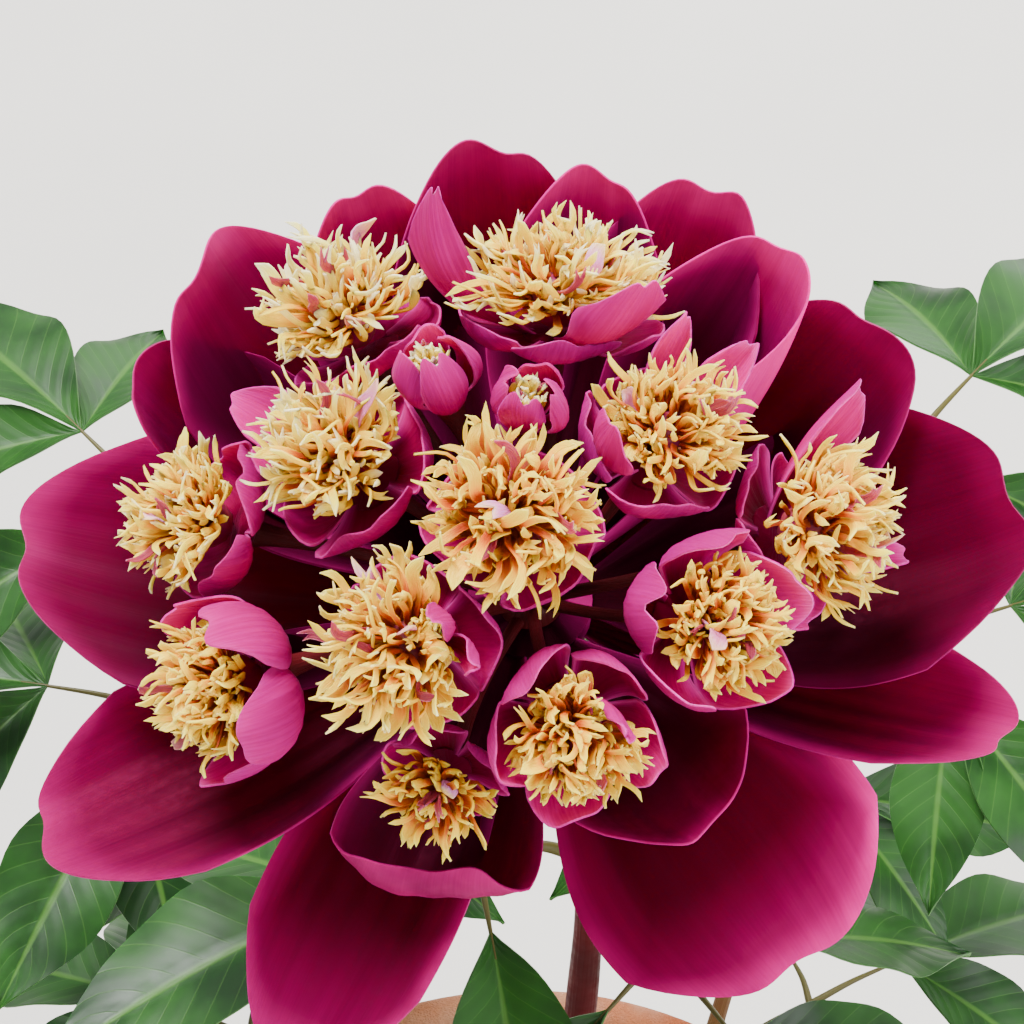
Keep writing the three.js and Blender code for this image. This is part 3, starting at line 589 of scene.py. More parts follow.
def feathered_veins(sheet: NodeSheet, given: dict) -> dict:
    """Makes a midrib with side veins that leave it towards the tip.

    Args:
        sheet: the group's node sheet.
        given: the group's inputs by name.

    Returns:
        Its outputs by name.
    """
    across, along, _ = sheet.split(given["Vector"])
    out = sheet.maths("ABSOLUTE", sheet.scaled(across, 2.0, -1.0))
    slant, side_strength = 2.3, 0.35
    swept = sheet.maths("SUBTRACT", sheet.times(along, given["Pairs"]), sheet.times(out, slant))
    beside = sheet.maths("PINGPONG", swept, 0.5)
    side = sheet.left_of_one(sheet.rise(beside, 0.0, 0.06))
    rib = sheet.left_of_one(sheet.rise(out, 0.02, 0.09))
    veins = sheet.greater(rib, sheet.times(side, side_strength))
    return {"Veins": veins, "Quilting": sheet.rise(beside, 0.0, 0.5)}


MOTTLING = effect("mottling", {"Scale": 20.0}, mottling)
LENGTHWISE = effect("lengthwise veins", {"Count": 60.0, "Wander": 3.0}, lengthwise_veins)
FEATHERED = effect("feathered veins", {"Pairs": 10.0}, feathered_veins)


class Coat(NodeSheet):
    """A new material with its shader's own values set and its sheet ready for more."""

    def __init__(self, name: str, **values: object) -> None:
        """Starts a material.

        Args:
            name: the material's name.
            values: the shader's own values, with underscores for spaces in their names.
        """
        self.material = bpy.data.materials.new(name)
        self.material.use_nodes = True
        super().__init__(self.material.node_tree)
        self.surface = self.tree.nodes["Principled BSDF"].inputs
        for label, value in values.items():
            self.feed(self.surface[label.replace("_", " ")], value)

    def group(self, tree: Tree, vector: object, **inputs: float) -> Outputs:
        """Places a shared effect with its own values and gives its outputs."""
        return self.add("Group", {"node_tree": tree}, {"Vector": vector, **inputs}).outputs

    def colour(self, value: object) -> None:
        """Sets or links the colour."""
        self.feed(self.surface["Base Color"], value)

    def roughness(self, value: object, low: float, high: float) -> None:
        """Runs the roughness from low to high as a value goes from 0 to 1."""
        inputs = {"Value": value, "To Min": low, "To Max": high}
        self.feed(self.surface["Roughness"], self.add("MapRange", None, inputs).outputs[0])

    def relief(self, *layers: tuple[object, float]) -> None:
        """Raises the surface, each layer on top of the one before.

        Args:
            layers: heights from 0 to 1, each with the depth in metres that it is multiplied by.
        """
        below = {}
        for height, depth in layers:
            bump = self.add("Bump", None, {"Height": height, "Distance": depth, **below})
            below = {"Normal": bump.outputs[0]}
        self.feed(self.surface["Normal"], below["Normal"])

    def place(self) -> Socket:
        """Reads the place on the object, in metres."""
        return self.add("TexCoord").outputs["Object"]


@dataclass(frozen=True)
class PetalFinish:
    """A satin petal: dark at its claw, partly its own colour and partly painted shade, saturated in its
    middle, with painted light towards its tip and sides and a paler rim that is brightened as painted glow
    where it is lit.

    A pair with a place in its name says where a change starts and ends, in shares of length or half width.
    """

    name: str
    # The claw colour is partly the petal's own dark foot and partly painted shade. The flush colour is
    # painted light over the petal's own colour on its outer parts. The rim colour is a paler rim that is
    # brightened as painted glow. The underside colour is painted brighter where the petal is lit.
    claw: str
    body: str
    lit_flush: str
    rim: str
    underside: str
    claw_to_body: Pair
    shine: str = "ff5090"
    veins: float = 90.0
    wander: float = 2.2
    vein_depth: float = 0.000015
    streak: float = 0.1
    patch_scale: float = 70.0
    # Where the painted light and the rim glow start and are full, and how strongly the rim glow and the lit
    # underside show.
    lit_flush_at_tip: Pair = (0.62, 1.02)
    lit_flush_at_side: Pair = (0.55, 1.05)
    rim_at_tip: Pair = (0.88, 1.02)
    rim_at_side: Pair = (0.82, 1.02)
    underside_to_tip: Pair = (0.2, 1.0)
    rim_share: float = 0.35
    under_share: float = 0.6
    rough: Pair = (0.42, 0.55)
    sheen: float = 0.35
    glow: float = 0.45

    def material(self) -> Material:
        """Builds the material from the petal's UV map and marks.

        Returns:
            The material.
        """
        coat = Coat(
            self.name,
            Subsurface_Weight=self.glow,
            Subsurface_Scale=0.004,
            Subsurface_Radius=(1.0, 0.18, 0.45),
            Sheen_Weight=self.sheen,
            Sheen_Roughness=0.4,
            Sheen_Tint=self.rim,
            Specular_IOR_Level=0.12,
            Specular_Tint=self.shine,
        )
        uv = coat.uv()
        across, along, _ = coat.split(uv)
        lines = coat.group(LENGTHWISE, uv, Count=self.veins, Wander=self.wander)
        patches = coat.group(MOTTLING, coat.place(), Scale=self.patch_scale)
        lateral = coat.scaled(across, -2.0, 1.0)
        side = coat.maths("ABSOLUTE", lateral)
        # The tone is painted light: lit petals are made lighter, shaded ones darker, and one side lighter
        # where it turns to the light.
        tone = self.tone(coat, lateral)
        # Painted shade: darker petals keep more of the dark claw colour.
        out_of_claw_shade = coat.times(coat.rise(along, *self.claw_to_body), coat.scaled(tone, 0.85, 0.15))
        deep = coat.mix(out_of_claw_shade, self.claw, self.body)
        # Painted light on the outer parts of the petal, towards its tip and sides.
        outward = coat.greater(coat.rise(along, *self.lit_flush_at_tip), coat.rise(side, *self.lit_flush_at_side))
        lit = coat.times(outward, coat.times(coat.scaled(lines["Bands"], 0.2, 0.8), tone))
        with_painted_light = coat.mix(lit, deep, self.lit_flush)
        # A paler rim, patchy, brightened as painted glow on lit petals.
        edge = coat.greater(coat.rise(side, *self.rim_at_side), coat.rise(along, *self.rim_at_tip))
        rim_tint_and_glow = coat.times(edge, coat.scaled(patches["Patches"], 0.5, 0.5))
        rimmed = coat.mix(coat.times(coat.times(rim_tint_and_glow, tone), self.rim_share), with_painted_light, self.rim)
        # The underside's bright pink is painted light: it shows as strongly as the petal is lit.
        covered = coat.scaled(tone, self.under_share, coat.scaled(patches["Patches"], 0.2, 0.03))
        graded = coat.times(covered, coat.scaled(coat.rise(along, *self.underside_to_tip), 0.9, 0.1))
        under = coat.mix(graded, rimmed, self.underside)
        faces = coat.mix(coat.held("underside"), rimmed, under)
        coat.colour(coat.mix(coat.times(lines["Lines"], self.streak), faces, self.claw))
        coat.roughness(patches["Grain"], *self.rough)
        coat.relief((lines["Bands"], 3 * self.vein_depth), (lines["Lines"], self.vein_depth))
        return coat.material

    def tone(self, coat: Coat, lateral: Socket) -> Socket:
        """Reads the petal's painted light, and weakens it on the side turned away from the light.

        Args:
            coat: the material under way.
            lateral: the place across the petal, from -1 to 1.

        Returns:
            The painted light.
        """
        bias = coat.held("bias")
        most = coat.maths("ADD", coat.maths("ABSOLUTE", bias), 1.0)
        return coat.times(coat.held("tone"), coat.maths("DIVIDE", coat.scaled(bias, lateral, 1.0), most))


@dataclass(frozen=True)
class StaminodeFinish:
    """Narrow yellow ribbons: red at the foot, golden, then cream at the tip, and a few pink ones.

    The pairs say where along a ribbon of middling tone each colour starts and is full; the tone carries the
    floret's painted light and shade.
    """

    foot: str = "962a0a"
    low: str = "ee8808"
    gold: str = "ffb81a"
    cream: str = "ffdc40"
    pale: str = "fff0a2"
    crimson: str = "74003e"
    blush: str = "e88cd8"
    low_from: Pair = (0.02, 0.26)
    gold_from: Pair = (0.1, 0.42)
    cream_from: Pair = (0.36, 0.88)
    pale_from: Pair = (0.72, 1.2)

    def material(self) -> Material:
        """Builds the material from the ribbon's UV map and its tone and blush marks.

        Returns:
            The material.
        """
        coat = Coat(
            "staminode ribbons",
            Subsurface_Weight=0.75,
            Subsurface_Scale=0.003,
            Subsurface_Radius=(1.0, 0.9, 0.5),
            Specular_IOR_Level=0.3,
        )
        uv = coat.uv()
        _, along, _ = coat.split(uv)
        tone = coat.held("tone")
        lines = coat.group(LENGTHWISE, uv, Count=9.0, Wander=4.0)["Lines"]
        # The tone shifts each ribbon's colours along it: partly their own differences, partly the floret's
        # painted light and shade.
        shifted = coat.maths("ADD", along, coat.scaled(tone, 0.6, -0.34))
        yellow = self.foot
        for start, colour in (
            (self.low_from, self.low),
            (self.gold_from, self.gold),
            (self.cream_from, self.cream),
            (self.pale_from, self.pale),
        ):
            yellow = coat.mix(coat.rise(shifted, *start), yellow, colour)
        pink = coat.mix(tone, self.crimson, self.blush)
        edged = coat.mix(coat.rise(along, 0.6, 1.0), pink, self.cream)
        petaloid = coat.mix(coat.times(tone, 0.8), pink, edged)
        coloured = coat.mix(coat.held("blush"), yellow, petaloid)
        coat.colour(coat.mix(coat.times(lines, 0.12), coloured, self.low))
        coat.roughness(lines, 0.42, 0.6)
        coat.relief((lines, 0.0001))
        return coat.material


@dataclass(frozen=True)
class LeafFinish:
    """A glossy leaf, paler along its veins and matt grey-green below."""

    deep: str = "0b2609"
    fresh: str = "1a440c"
    vein: str = "4c742a"
    below: str = "466a3a"
    stalk: str = "46401a"
    vein_pairs: float = 11.0
    quilt_depth: float = 0.00007
    vein_depth: float = 0.00006

    def material(self) -> Material:
        """Builds the material from the leaf's UV map and marks.

        Returns:
            The material.
        """
        coat = Coat(
            "leaf",
            Subsurface_Weight=0.12,
            Subsurface_Scale=0.002,
            Subsurface_Radius=(0.4, 1.0, 0.2),
            Specular_IOR_Level=0.22,
        )
        feathered = coat.group(FEATHERED, coat.uv(), Pairs=self.vein_pairs)
        stalk, underside = coat.held("stalk"), coat.held("underside")
        blade_only = coat.left_of_one(stalk)
        veins = coat.times(feathered["Veins"], blade_only)
        quilting = coat.times(feathered["Quilting"], blade_only)
        patches = coat.group(MOTTLING, coat.place(), Scale=45.0)["Patches"]
        top = coat.mix(patches, self.deep, self.fresh)
        quilted = coat.mix(coat.times(quilting, 0.12), top, self.deep)
        veined = coat.mix(coat.times(veins, 0.4), quilted, self.vein)
        below = coat.mix(veins, self.below, self.vein)
        coat.colour(coat.mix(stalk, coat.mix(underside, veined, below), self.stalk))
        coat.roughness(coat.greater(underside, patches), 0.38, 0.54)
        coat.relief((quilting, self.quilt_depth), (coat.left_of_one(veins), self.vein_depth))
        return coat.material


@dataclass(frozen=True)
class StemFinish:
    """A smooth stem with faint ribs along it, patches of a second colour and a third one near the soil."""

    name: str
    main: str
    second: str
    low: str
    low_height: Pair = (0.26, 0.18)

    def material(self) -> Material:
        """Builds the material from the stem's UV map and place.

        Returns:
            The material.
        """
        coat = Coat(self.name, Specular_IOR_Level=0.14)
        lines = coat.group(LENGTHWISE, coat.uv(), Count=26.0, Wander=9.0)["Lines"]
        patches = coat.group(MOTTLING, coat.place(), Scale=38.0)
        height = coat.split(coat.place())[2]
        mixed = coat.mix(patches["Patches"], self.main, self.second)
        ribbed = coat.mix(coat.times(lines, 0.2), mixed, self.low)
        coat.colour(coat.mix(coat.rise(height, *self.low_height), ribbed, self.low))
        coat.roughness(patches["Grain"], 0.4, 0.6)
        coat.relief((lines, 0.0001))
        return coat.material


@dataclass(frozen=True)
class ClayFinish:
    """Fired clay with fine turning lines, a dark grain and pale lime bloom low down and at the rim."""

    clay: str = "964b26"
    light: str = "ae6a40"
    bloom: str = "bca38b"
    dark: str = "6c321a"
    bloom_share: float = 0.45
    rim_bloom: float = 0.012
    lines_a_metre: float = 420.0

    def material(self, top: float) -> Material:
        """Builds the material.

        Args:
            top: the height of the pot's rim.

        Returns:
            The material.
        """
        coat = Coat("terracotta", Specular_IOR_Level=0.25)
        place = coat.place()
        height = coat.split(place)[2]
        patches = coat.group(MOTTLING, place, Scale=16.0)["Patches"]
        specks = coat.group(MOTTLING, place, Scale=170.0)
        rings = coat.noise(coat.vector(Z=coat.times(height, self.lines_a_metre)), 1.0, 2.0)
        base = coat.mix(patches, self.clay, self.light)
        grained = coat.mix(coat.times(specks["Grain"], 0.3), base, self.dark)
        low = coat.rise(height, self.bloom_share * top, 0.0)
        rim = coat.rise(height, top - self.rim_bloom, top)
        where = coat.greater(low, coat.times(rim, 0.7))
        cloud = coat.times(where, coat.group(MOTTLING, place, Scale=34.0)["Patches"])
        coat.colour(coat.mix(coat.times(cloud, 0.55), grained, self.bloom))
        coat.roughness(specks["Patches"], 0.78, 0.95)
        coat.relief((rings, 0.0006), (specks["Grain"], 0.0003))
        return coat.material


@dataclass(frozen=True)
class SoilFinish:
    """Dark crumbly potting soil with brown patches and pale grit."""

    dark: str = "1d130c"
    brown: str = "4a3322"
    grit: str = "b9ac98"

    def material(self) -> Material:
        """Builds the material from the place and the grit mark.

        Returns:
            The material.
        """
        coat = Coat("potting soil", Specular_IOR_Level=0.2)
        place = coat.place()
        crumbs = coat.group(MOTTLING, place, Scale=130.0)
        lumps = coat.group(MOTTLING, place, Scale=45.0)["Patches"]
        base = coat.mix(crumbs["Patches"], self.dark, self.brown)
        coat.colour(coat.mix(coat.held("grit"), base, self.grit))
        coat.roughness(crumbs["Grain"], 0.85, 1.0)
        coat.relief((lumps, 0.002), (crumbs["Grain"], 0.0008))
        return coat.material


# In these petal finishes the claw colours are partly painted shade, and the flush, rim and underside colours
# are partly painted light.
GUARD_FINISH = PetalFinish(
    name="guard petal",
    claw="110003",
    body="320010",
    lit_flush="860050",
    rim="e41c90",
    underside="e41c88",
    claw_to_body=(0.12, 0.75),
    rim_share=0.65,
    rough=(0.48, 0.6),
    sheen=0.02,
    glow=0.3,
)
COLLAR_FINISH = PetalFinish(
    name="collar petal",
    claw="4c0014",
    body="9a0048",
    lit_flush="c81084",
    rim="e870c0",
    underside="8c0462",
    claw_to_body=(0.05, 0.55),
    veins=34.0,
    vein_depth=0.00004,
    streak=0.24,
    lit_flush_at_tip=(0.32, 1.02),
    rim_share=0.3,
    under_share=0.7,
    sheen=0.05,
    glow=0.4,
)
SEPAL_FINISH = PetalFinish(
    name="sepal",
    claw="6c7a3a",
    body="4f6a2c",
    lit_flush="6d7d38",
    rim="8a3a3c",
    underside="5f7a3a",
    claw_to_body=(0.0, 0.5),
    veins=22.0,
    sheen=0.1,
    glow=0.08,
)
# The red stem's colours are darkened past its own dark red as painted shade, since it stands in the head's
# shade.
RED_STEM_FINISH = StemFinish(name="red stem", main="360409", second="500c12", low="3c1410")
GREEN_STEM_FINISH = StemFinish(name="green stem", main="44561e", second="664628", low="5a281c")


# The head's frame and the petals' shape


@dataclass(frozen=True)
class Head:
    """The flower head's frame: where its base stands and how far it leans towards -Y."""

    x: float = 0.0
    y: float = -0.012
    z: float = 0.5
    lean: float = 20.0

    def place(self, points: Array) -> Array:
        """Takes points from the head's frame to the plant's."""
        return points @ rotation(np.array([1.0, 0, 0]), self.lean).T + np.array([self.x, self.y, self.z])


HEAD = Head()


def petal_sheet(name: str, lay: Surface, steps: tuple[int, int], thickness: float, tone: float) -> Piece:
    """Lays a petal of the head in the plant's frame and marks its tone.

    Args:
        name: the piece's name.
        lay: the petal's surface, in the head's frame.
        steps: the grid's steps from root to tip and from side to side.
        thickness: of the petal.
        tone: how light it is painted, as painted light and shade.

    Returns:
        The petal.
    """
    sheet = laid_sheet(name, lambda u, v: HEAD.place(lay(u, v)), steps, thickness)
    mark(sheet, "tone", tone)
    return sheet


@dataclass(frozen=True)
class PetalShape:
    """A petal that grows from an axis. Root, bow and tip are radius and height of its midline's points.

    The waves are counted in radians over the petal, and the other shares are of its length or half width.
    """

    azimuth: float
    root: Pair
    bow: Pair
    tip: Pair
    width: float
    fold: float
    claw: float
    overlap: float = 0.0
    ripple: float = 0.0
    frill: float = 0.0
    crease: float = 0.0
    notch: float = 0.0
    curl: float = 0.0
    twist: float = 0.0
    roll: float = 0.0
    widest: float = 0.62
    tip_rounding: float = 0.27
    tip_narrowing: float = 0.22
    roll_from: float = 0.3
    notch_place: float = 0.25
    notch_width: float = 0.24
    ripple_waves: float = 4.0
    frill_waves: float = 3.4
    small_waves: float = 8.0
    edge_waves: float = 7.0
    crease_waves: float = 21.0
    curl_from: float = 0.7
    curl_length: float = 0.3

    @property
    def phase(self) -> float:
        """Where the waves start, so that no two petals wave alike."""
        return math.radians(self.azimuth) * 3

    def across(self, half: Array, v: Array) -> tuple[Array, Array]:
        """Bends the petal's width into an arc, with one side rolled in further past its half.

        Args:
            half: half of the width.
            v: from -1 to 1 across.

        Returns:
            The distance to the side and the height.
        """
        angle = math.radians(self.fold)
        lateral = half * np.sin(angle * v) / angle
        height = half * (1 - np.cos(angle * v)) / angle
        if not self.roll:
            return lateral, height
        tight, side = math.radians(abs(self.roll)), np.sign(self.roll)
        past = np.maximum(0, v * side - self.roll_from)
        first = angle * self.roll_from
        turned = first + tight * past
        rolled = half * (np.sin(first) / angle + (np.sin(turned) - np.sin(first)) / tight)
        raised = half * ((1 - np.cos(first)) / angle + (np.cos(first) - np.cos(turned)) / tight)
        return np.where(past > 0, side * rolled, lateral), np.where(past > 0, raised, height)

    def waved(self, height: Array, s: Array, v: Array) -> Array:
        """Adds the overlap, the waves, the creases and the curled tip to the petal's height.

        Args:
            height: of the plain arc.
            s: from 0 at the root to 1 at the tip.
            v: from -1 to 1 across.

        Returns:
            The new height.
        """
        phase = self.phase
        height += self.overlap * v * s + self.ripple * s * s * np.sin(self.ripple_waves * v + self.azimuth)
        broad, small = np.sin(self.frill_waves * v + phase), np.sin(self.small_waves * v + 2 * phase)
        height += self.frill * s**3 * (0.7 * broad + 0.3 * small)
        height += self.frill * np.abs(v) ** 4 * s * np.sin(self.edge_waves * s + phase * np.sign(v))
        height += self.crease * np.sin(np.pi * np.minimum(s, 1)) * np.cos(self.crease_waves * v + phase)
        return height + self.curl * np.maximum(0, (s - self.curl_from) / self.curl_length) ** 2

    def lay(self, u: Array, v: Array) -> Array:
        """Gives the points of the petal's middle surface.

        Args:
            u: from 0 at the root to 1 at the tip.
            v: from -1 to 1 across.

        Returns:
            The points as rows, in the frame of the axis.
        """
        from_notch = (v - self.notch_place * math.sin(self.phase)) / self.notch_width
        dip = self.notch * u**4 * np.exp(-(from_notch**2))
        s = u * (1 - self.tip_rounding * np.abs(v) ** 3) * (1 - dip)
        opening = np.sin(np.pi / 2 * np.minimum(s / self.widest, 1))
        closing = np.maximum(0, (s - self.widest) / (1 - self.widest))
        opened = self.claw + (1 - self.claw) * opening
        half = self.width / 2 * opened * (1 - self.tip_narrowing * closing**2)
        lateral, height = self.across(half, v)
        height = self.waved(height, s, v)
        turn = math.radians(self.twist) * np.minimum(1, 3 * s)
        cosine, sine = np.cos(turn), np.sin(turn)
        lateral, height = lateral * cosine - height * sine, lateral * sine + height * cosine
        p, q, r = (np.array(point) for point in (self.root, self.bow, self.tip))
        t = s[:, None]
        middle = (1 - t) ** 2 * p + 2 * t * (1 - t) * q + t**2 * r
        tangent = unit(2 * (1 - t) * (q - p) + 2 * t * (r - q))
        radius = middle[:, 0] - tangent[:, 1] * height
        rise = middle[:, 1] + tangent[:, 0] * height
        outward = direction(self.azimuth)
        sideways = np.array([-outward[1], outward[0], 0])
        return radius[:, None] * outward + lateral[:, None] * sideways + rise[:, None] * UP


# Florets: a collar of small petals and a tuft of staminodes on a stalk


@dataclass(frozen=True)
class Petaloid:
    """An odd petal among a floret's staminodes. Its lengths are shares of the floret's radius."""

    azimuth: float
    reach: float
    rise: float
    bow: Pair
    width: float
    # How lit the petal is painted.
    tone: float = 1.0
    pointed: float = 0.3
    fold: float = 62.0
    twist: float = 0.0

    def shape(self, size: float, height: float) -> PetalShape:
        """Gives the petal's shape.

        Args:
            size: the floret's radius.
            height: at which the petal springs, in the floret's frame.

        Returns:
            The shape in the floret's frame.
        """
        return PetalShape(
            azimuth=self.azimuth,
            root=(0.2 * size, height),
            bow=(self.bow[0] * size, self.bow[1] * size),
            tip=(self.reach * size, self.rise * size),
            width=self.width * size,
            fold=self.fold,
            claw=0.3,
            ripple=0.0007,
            frill=0.0009,
            crease=0.00012,
            notch=0.05,
            curl=-0.0012,
            twist=self.twist,
            tip_narrowing=min(0.9, 0.22 + self.pointed),
        )


@dataclass
class Floret:
    """One small flower of the head. Lengths are in metres, angles in degrees.

    A cup of 0 is a collar that lies open under its tuft, 1 is one that stands round it, 2 is a parted bud.
    """

    name: str
    azimuth: float
    lean: float
    distance: float
    radius: float
    cup: float
    petals: int
    turn: float
    stretch: float = 1.0
    petaloids: tuple[Petaloid, ...] = ()
    blushes: int = 2
    ribbons: int = 240
    strays: float = 0.07
    # How much warmer and darker the staminodes are made, partly their own orange and partly painted shade;
    # below 0 they are made paler as painted light.
    warmth_and_shade: float = 0.2
    # How lit the collar is painted: it scales the collar petals' painted light.
    lit_flush: float = 1.0
    clumps: int = 14
    walls: list[tuple[Array, float]] = field(default_factory=list)
    plate: float = 0.32
    core: Pair = (0.42, -0.1)
    petal_thickness: float = 0.0004
    bud_ribbons: int = 40
    usual_radius: float = 0.0175
    clumping: float = 0.28
    disorder: float = 0.11
    dark_inside: int = 4
    half_width: float = 0.00068
    bow_reach: Triple = (0.8, 1.0, 1.35)
    bow_rise: Triple = (-0.8, -0.7, -0.1)
    tip_reach: Triple = (1.0, 0.95, 0.35)
    tip_rise: Triple = (-0.42, 0.45, 0.95)
    girth: Triple = (5.3, 5.3, 4.6)
    fold: Triple = (30.0, 50.0, 62.0)
    tuft_reach: Triple = (1.02, 0.78, 0.95)
    tuft_dip: Triple = (-0.2, 0.05, 0.8)

    @property
    def is_bud(self) -> bool:
        """Whether the floret is still a bud."""
        return self.cup > 1

    @property
    def axis(self) -> Array:
        """The direction in which the floret faces, in the head's frame."""
        return direction(self.azimuth, self.lean)

    @property
    def centre(self) -> Array:
        """The floret's middle, in the head's frame."""
        return self.axis * self.distance

    @property
    def plate_height(self) -> float:
        """The height of the plate under the tuft, in the floret's frame."""
        height, middle = self.core
        return (middle - height) * self.radius - SEAT_GAP - PETAL_THICKNESS / 2

    @property
    def heart(self) -> Array:
        """The half sizes of the ball that the staminodes grow from, before it is stretched."""
        return np.array([0.3, 0.3, 0.8 * self.core[0]]) * self.radius

    @property
    def oval(self) -> Array:
        """How far the tuft is stretched each way."""
        return np.array([self.stretch, 1, 1])

    def place(self, points: Array) -> Array:
        """Takes points from the floret's frame to the head's."""
        turn = np.array(Vector(UP).rotation_difference(Vector(self.axis)).to_matrix())
        return points @ turn.T + self.centre

    def on_heart(self, ways: Array) -> Array:
        """Gives the points of the heart in each way, in the floret's frame."""
        return ways * self.heart * self.oval + UP * self.core[1] * self.radius

    def part_from(self, others: list["Floret"]) -> None:
        """Sets the planes that part this floret from its neighbours, each between the two balls.

        Args:
            others: all the florets, this one too.
        """
        for other in others:
            if other is self:
                continue
            apart = np.linalg.norm(other.centre - self.centre)
            room = (apart**2 + self.radius**2 - other.radius**2) / (2 * apart)
            self.walls.append((unit(other.centre - self.centre), room))

    def drawn_in(self, points: Array, scale: Array) -> Array:
        """Scales points about the floret's middle, each by its own share."""
        return self.centre + (points - self.centre) * scale[:, None]

    def eased_inside(self, points: Array) -> Array:
        """Draws points in towards the floret's middle where they near a wall.

        Args:
            points: in the head's frame.

        Returns:
            The points, all inside the walls.
        """
        clearance, free_share = 0.0008, 0.7
        for normal, distance in self.walls:
            room = distance - clearance
            reach = (points - self.centre) @ normal
            free = free_share * room
            eased = free + (room - free) * np.tanh((reach - free) / (room - free))
            points = self.drawn_in(points, np.where(reach > free, eased / np.maximum(reach, 1e-9), 1.0))
        return points

    def petal(self, number: int, draw: Draw) -> PetalShape:
        """Gives the shape of one collar petal, a little unlike its neighbours.

        Args:
            number: the petal's place in the collar.
            draw: the source of small differences.

        Returns:
            The shape in the floret's frame.
        """
        size = self.radius
        reach = spread(self.tip_reach, self.cup) * size * draw.uniform(0.94, 1.05)
        rise = spread(self.tip_rise, self.cup) * size + draw.uniform(-0.06, 0.08) * size
        return PetalShape(
            azimuth=self.turn + 360 * number / self.petals,
            root=(self.plate * size * math.cos(math.pi / self.petals), self.plate_height),
            bow=(spread(self.bow_reach, self.cup) * size, spread(self.bow_rise, self.cup) * size),
            tip=(reach, rise),
            width=spread(self.girth, self.cup) * size / self.petals * draw.uniform(0.94, 1.1),
            fold=spread(self.fold, self.cup),
            claw=0.4,
            overlap=0.0016,
            ripple=0.0006,
            frill=0.0007,
            crease=0.0001,
            notch=draw.uniform(0.02, 0.12),
            curl=0.0012 if self.cup < 2 else 0.0,
        )

    def shapes(self) -> list[tuple[PetalShape, float]]:
        """Lists the shapes and tones of the collar's petals and of the odd ones.

        Returns:
            The shapes, each with its tone and painted light.
        """
        draw = np.random.default_rng(ord(self.name) * 7)
        shapes = []
        for number in range(self.petals):
            # Each collar petal's tone differs at random and is scaled by the floret's painted light.
            shapes.append((self.petal(number, draw), draw.uniform(0.5, 1.0) * self.lit_flush))
        for petaloid in self.petaloids:
            shapes.append((petaloid.shape(self.radius, self.plate_height), petaloid.tone))
        return shapes

    def petal_points(self, shape: PetalShape, u: Array, v: Array) -> Array:
        """Gives points of a petal, inside the floret's own room unless the petal is twisted and stands free.

        Args:
            shape: the petal's.
            u: from 0 at its root to 1 at its tip.
            v: from -1 to 1 across.

        Returns:
            The points in the head's frame.
        """
        local = shape.lay(u, v)
        local[:, 0] *= 1 + (self.stretch - 1) * u
        placed = self.place(local)
        return placed if shape.twist else self.eased_inside(placed)

    def kept_inside_petals(self, ends: Array) -> Array:
        """Draws the ribbons' ends in where a petal stands in their way.

        Args:
            ends: in the head's frame.

        Returns:
            The ends, none of them past a petal.
        """
        near, room_share = math.cos(math.radians(13)), 0.86
        u, v = np.meshgrid(np.linspace(0.1, 0.96, 12), np.linspace(-0.95, 0.95, 9))
        points = [self.petal_points(shape, u.ravel(), v.ravel()) for shape, _ in self.shapes()]
        petals = np.vstack(points) - self.centre
        out = ends - self.centre
        in_the_way = unit(out) @ unit(petals).T > near
        room = room_share * np.min(np.where(in_the_way, np.linalg.norm(petals, axis=1), np.inf), axis=1)
        return self.drawn_in(ends, np.minimum(1, room / np.linalg.norm(out, axis=1)))

    def collar(self) -> Piece:
        """Builds the collar: its petals and the plate that they spring from.

        Returns:
            The collar as one piece.
        """
        sheets = []
        for shape, tone in self.shapes():
            lay = partial(self.petal_points, shape)
            sheets.append(petal_sheet("collar_sheet", lay, (20, 16), self.petal_thickness, tone))
        width = 1.12 * self.plate * self.radius
        rings = [(0.3 * width, -0.0022), (width, -0.0003), (width, 0.0004), (0.4 * width, 0.0012)]
        plate = turned_piece("collar_plate", rings, 16)
        moved(plate, lambda corners: HEAD.place(self.place(corners + UP * self.plate_height)))
        return joined(f"floret_{self.name}_collar", [*sheets, plate])

    def ribbon_ways(self, count: int, draw: Draw) -> Array:
        """Spreads the staminodes over the tuft and draws them together in clumps.

        Args:
            count: how many there are.
            draw: the source of small differences.

        Returns:
            Their directions from the heart, in the floret's frame.
        """
        number = np.arange(count)
        rise = 1 - (number + 0.5) / count * (1 - spread(self.tuft_dip, self.cup))
        around = np.radians(number * GOLDEN_ANGLE)
        level = np.sqrt(1 - rise**2)
        ways = np.stack([level * np.cos(around), level * np.sin(around), rise], axis=-1)
        clumps = ways[draw.choice(count, self.clumps)]
        nearest = clumps[np.argmax(ways @ clumps.T, axis=1)]
        return unit(ways + self.clumping * nearest + draw.normal(0, self.disorder, ways.shape))

    def ribbon_ends(self, ways: Array, draw: Draw) -> Array:
        """Gives the staminodes' ends, inside the walls and the petals.

        Args:
            ways: their directions.
            draw: the source of small differences.

        Returns:
            The ends in the head's frame.
        """
        count = len(ways)
        reach = spread(self.tuft_reach, self.cup) * self.radius * draw.uniform(0.55, 1.08, count)
        reach *= np.where(draw.uniform(0, 1, count) < self.strays, 1.2, 1.0)
        ends = self.place(ways * reach[:, None] * self.oval)
        for normal, distance in self.walls:
            over = (ends - self.centre) @ normal
            ends = self.drawn_in(ends, np.where(over > distance, distance / np.maximum(over, 1e-9), 1.0))
        return self.kept_inside_petals(ends)

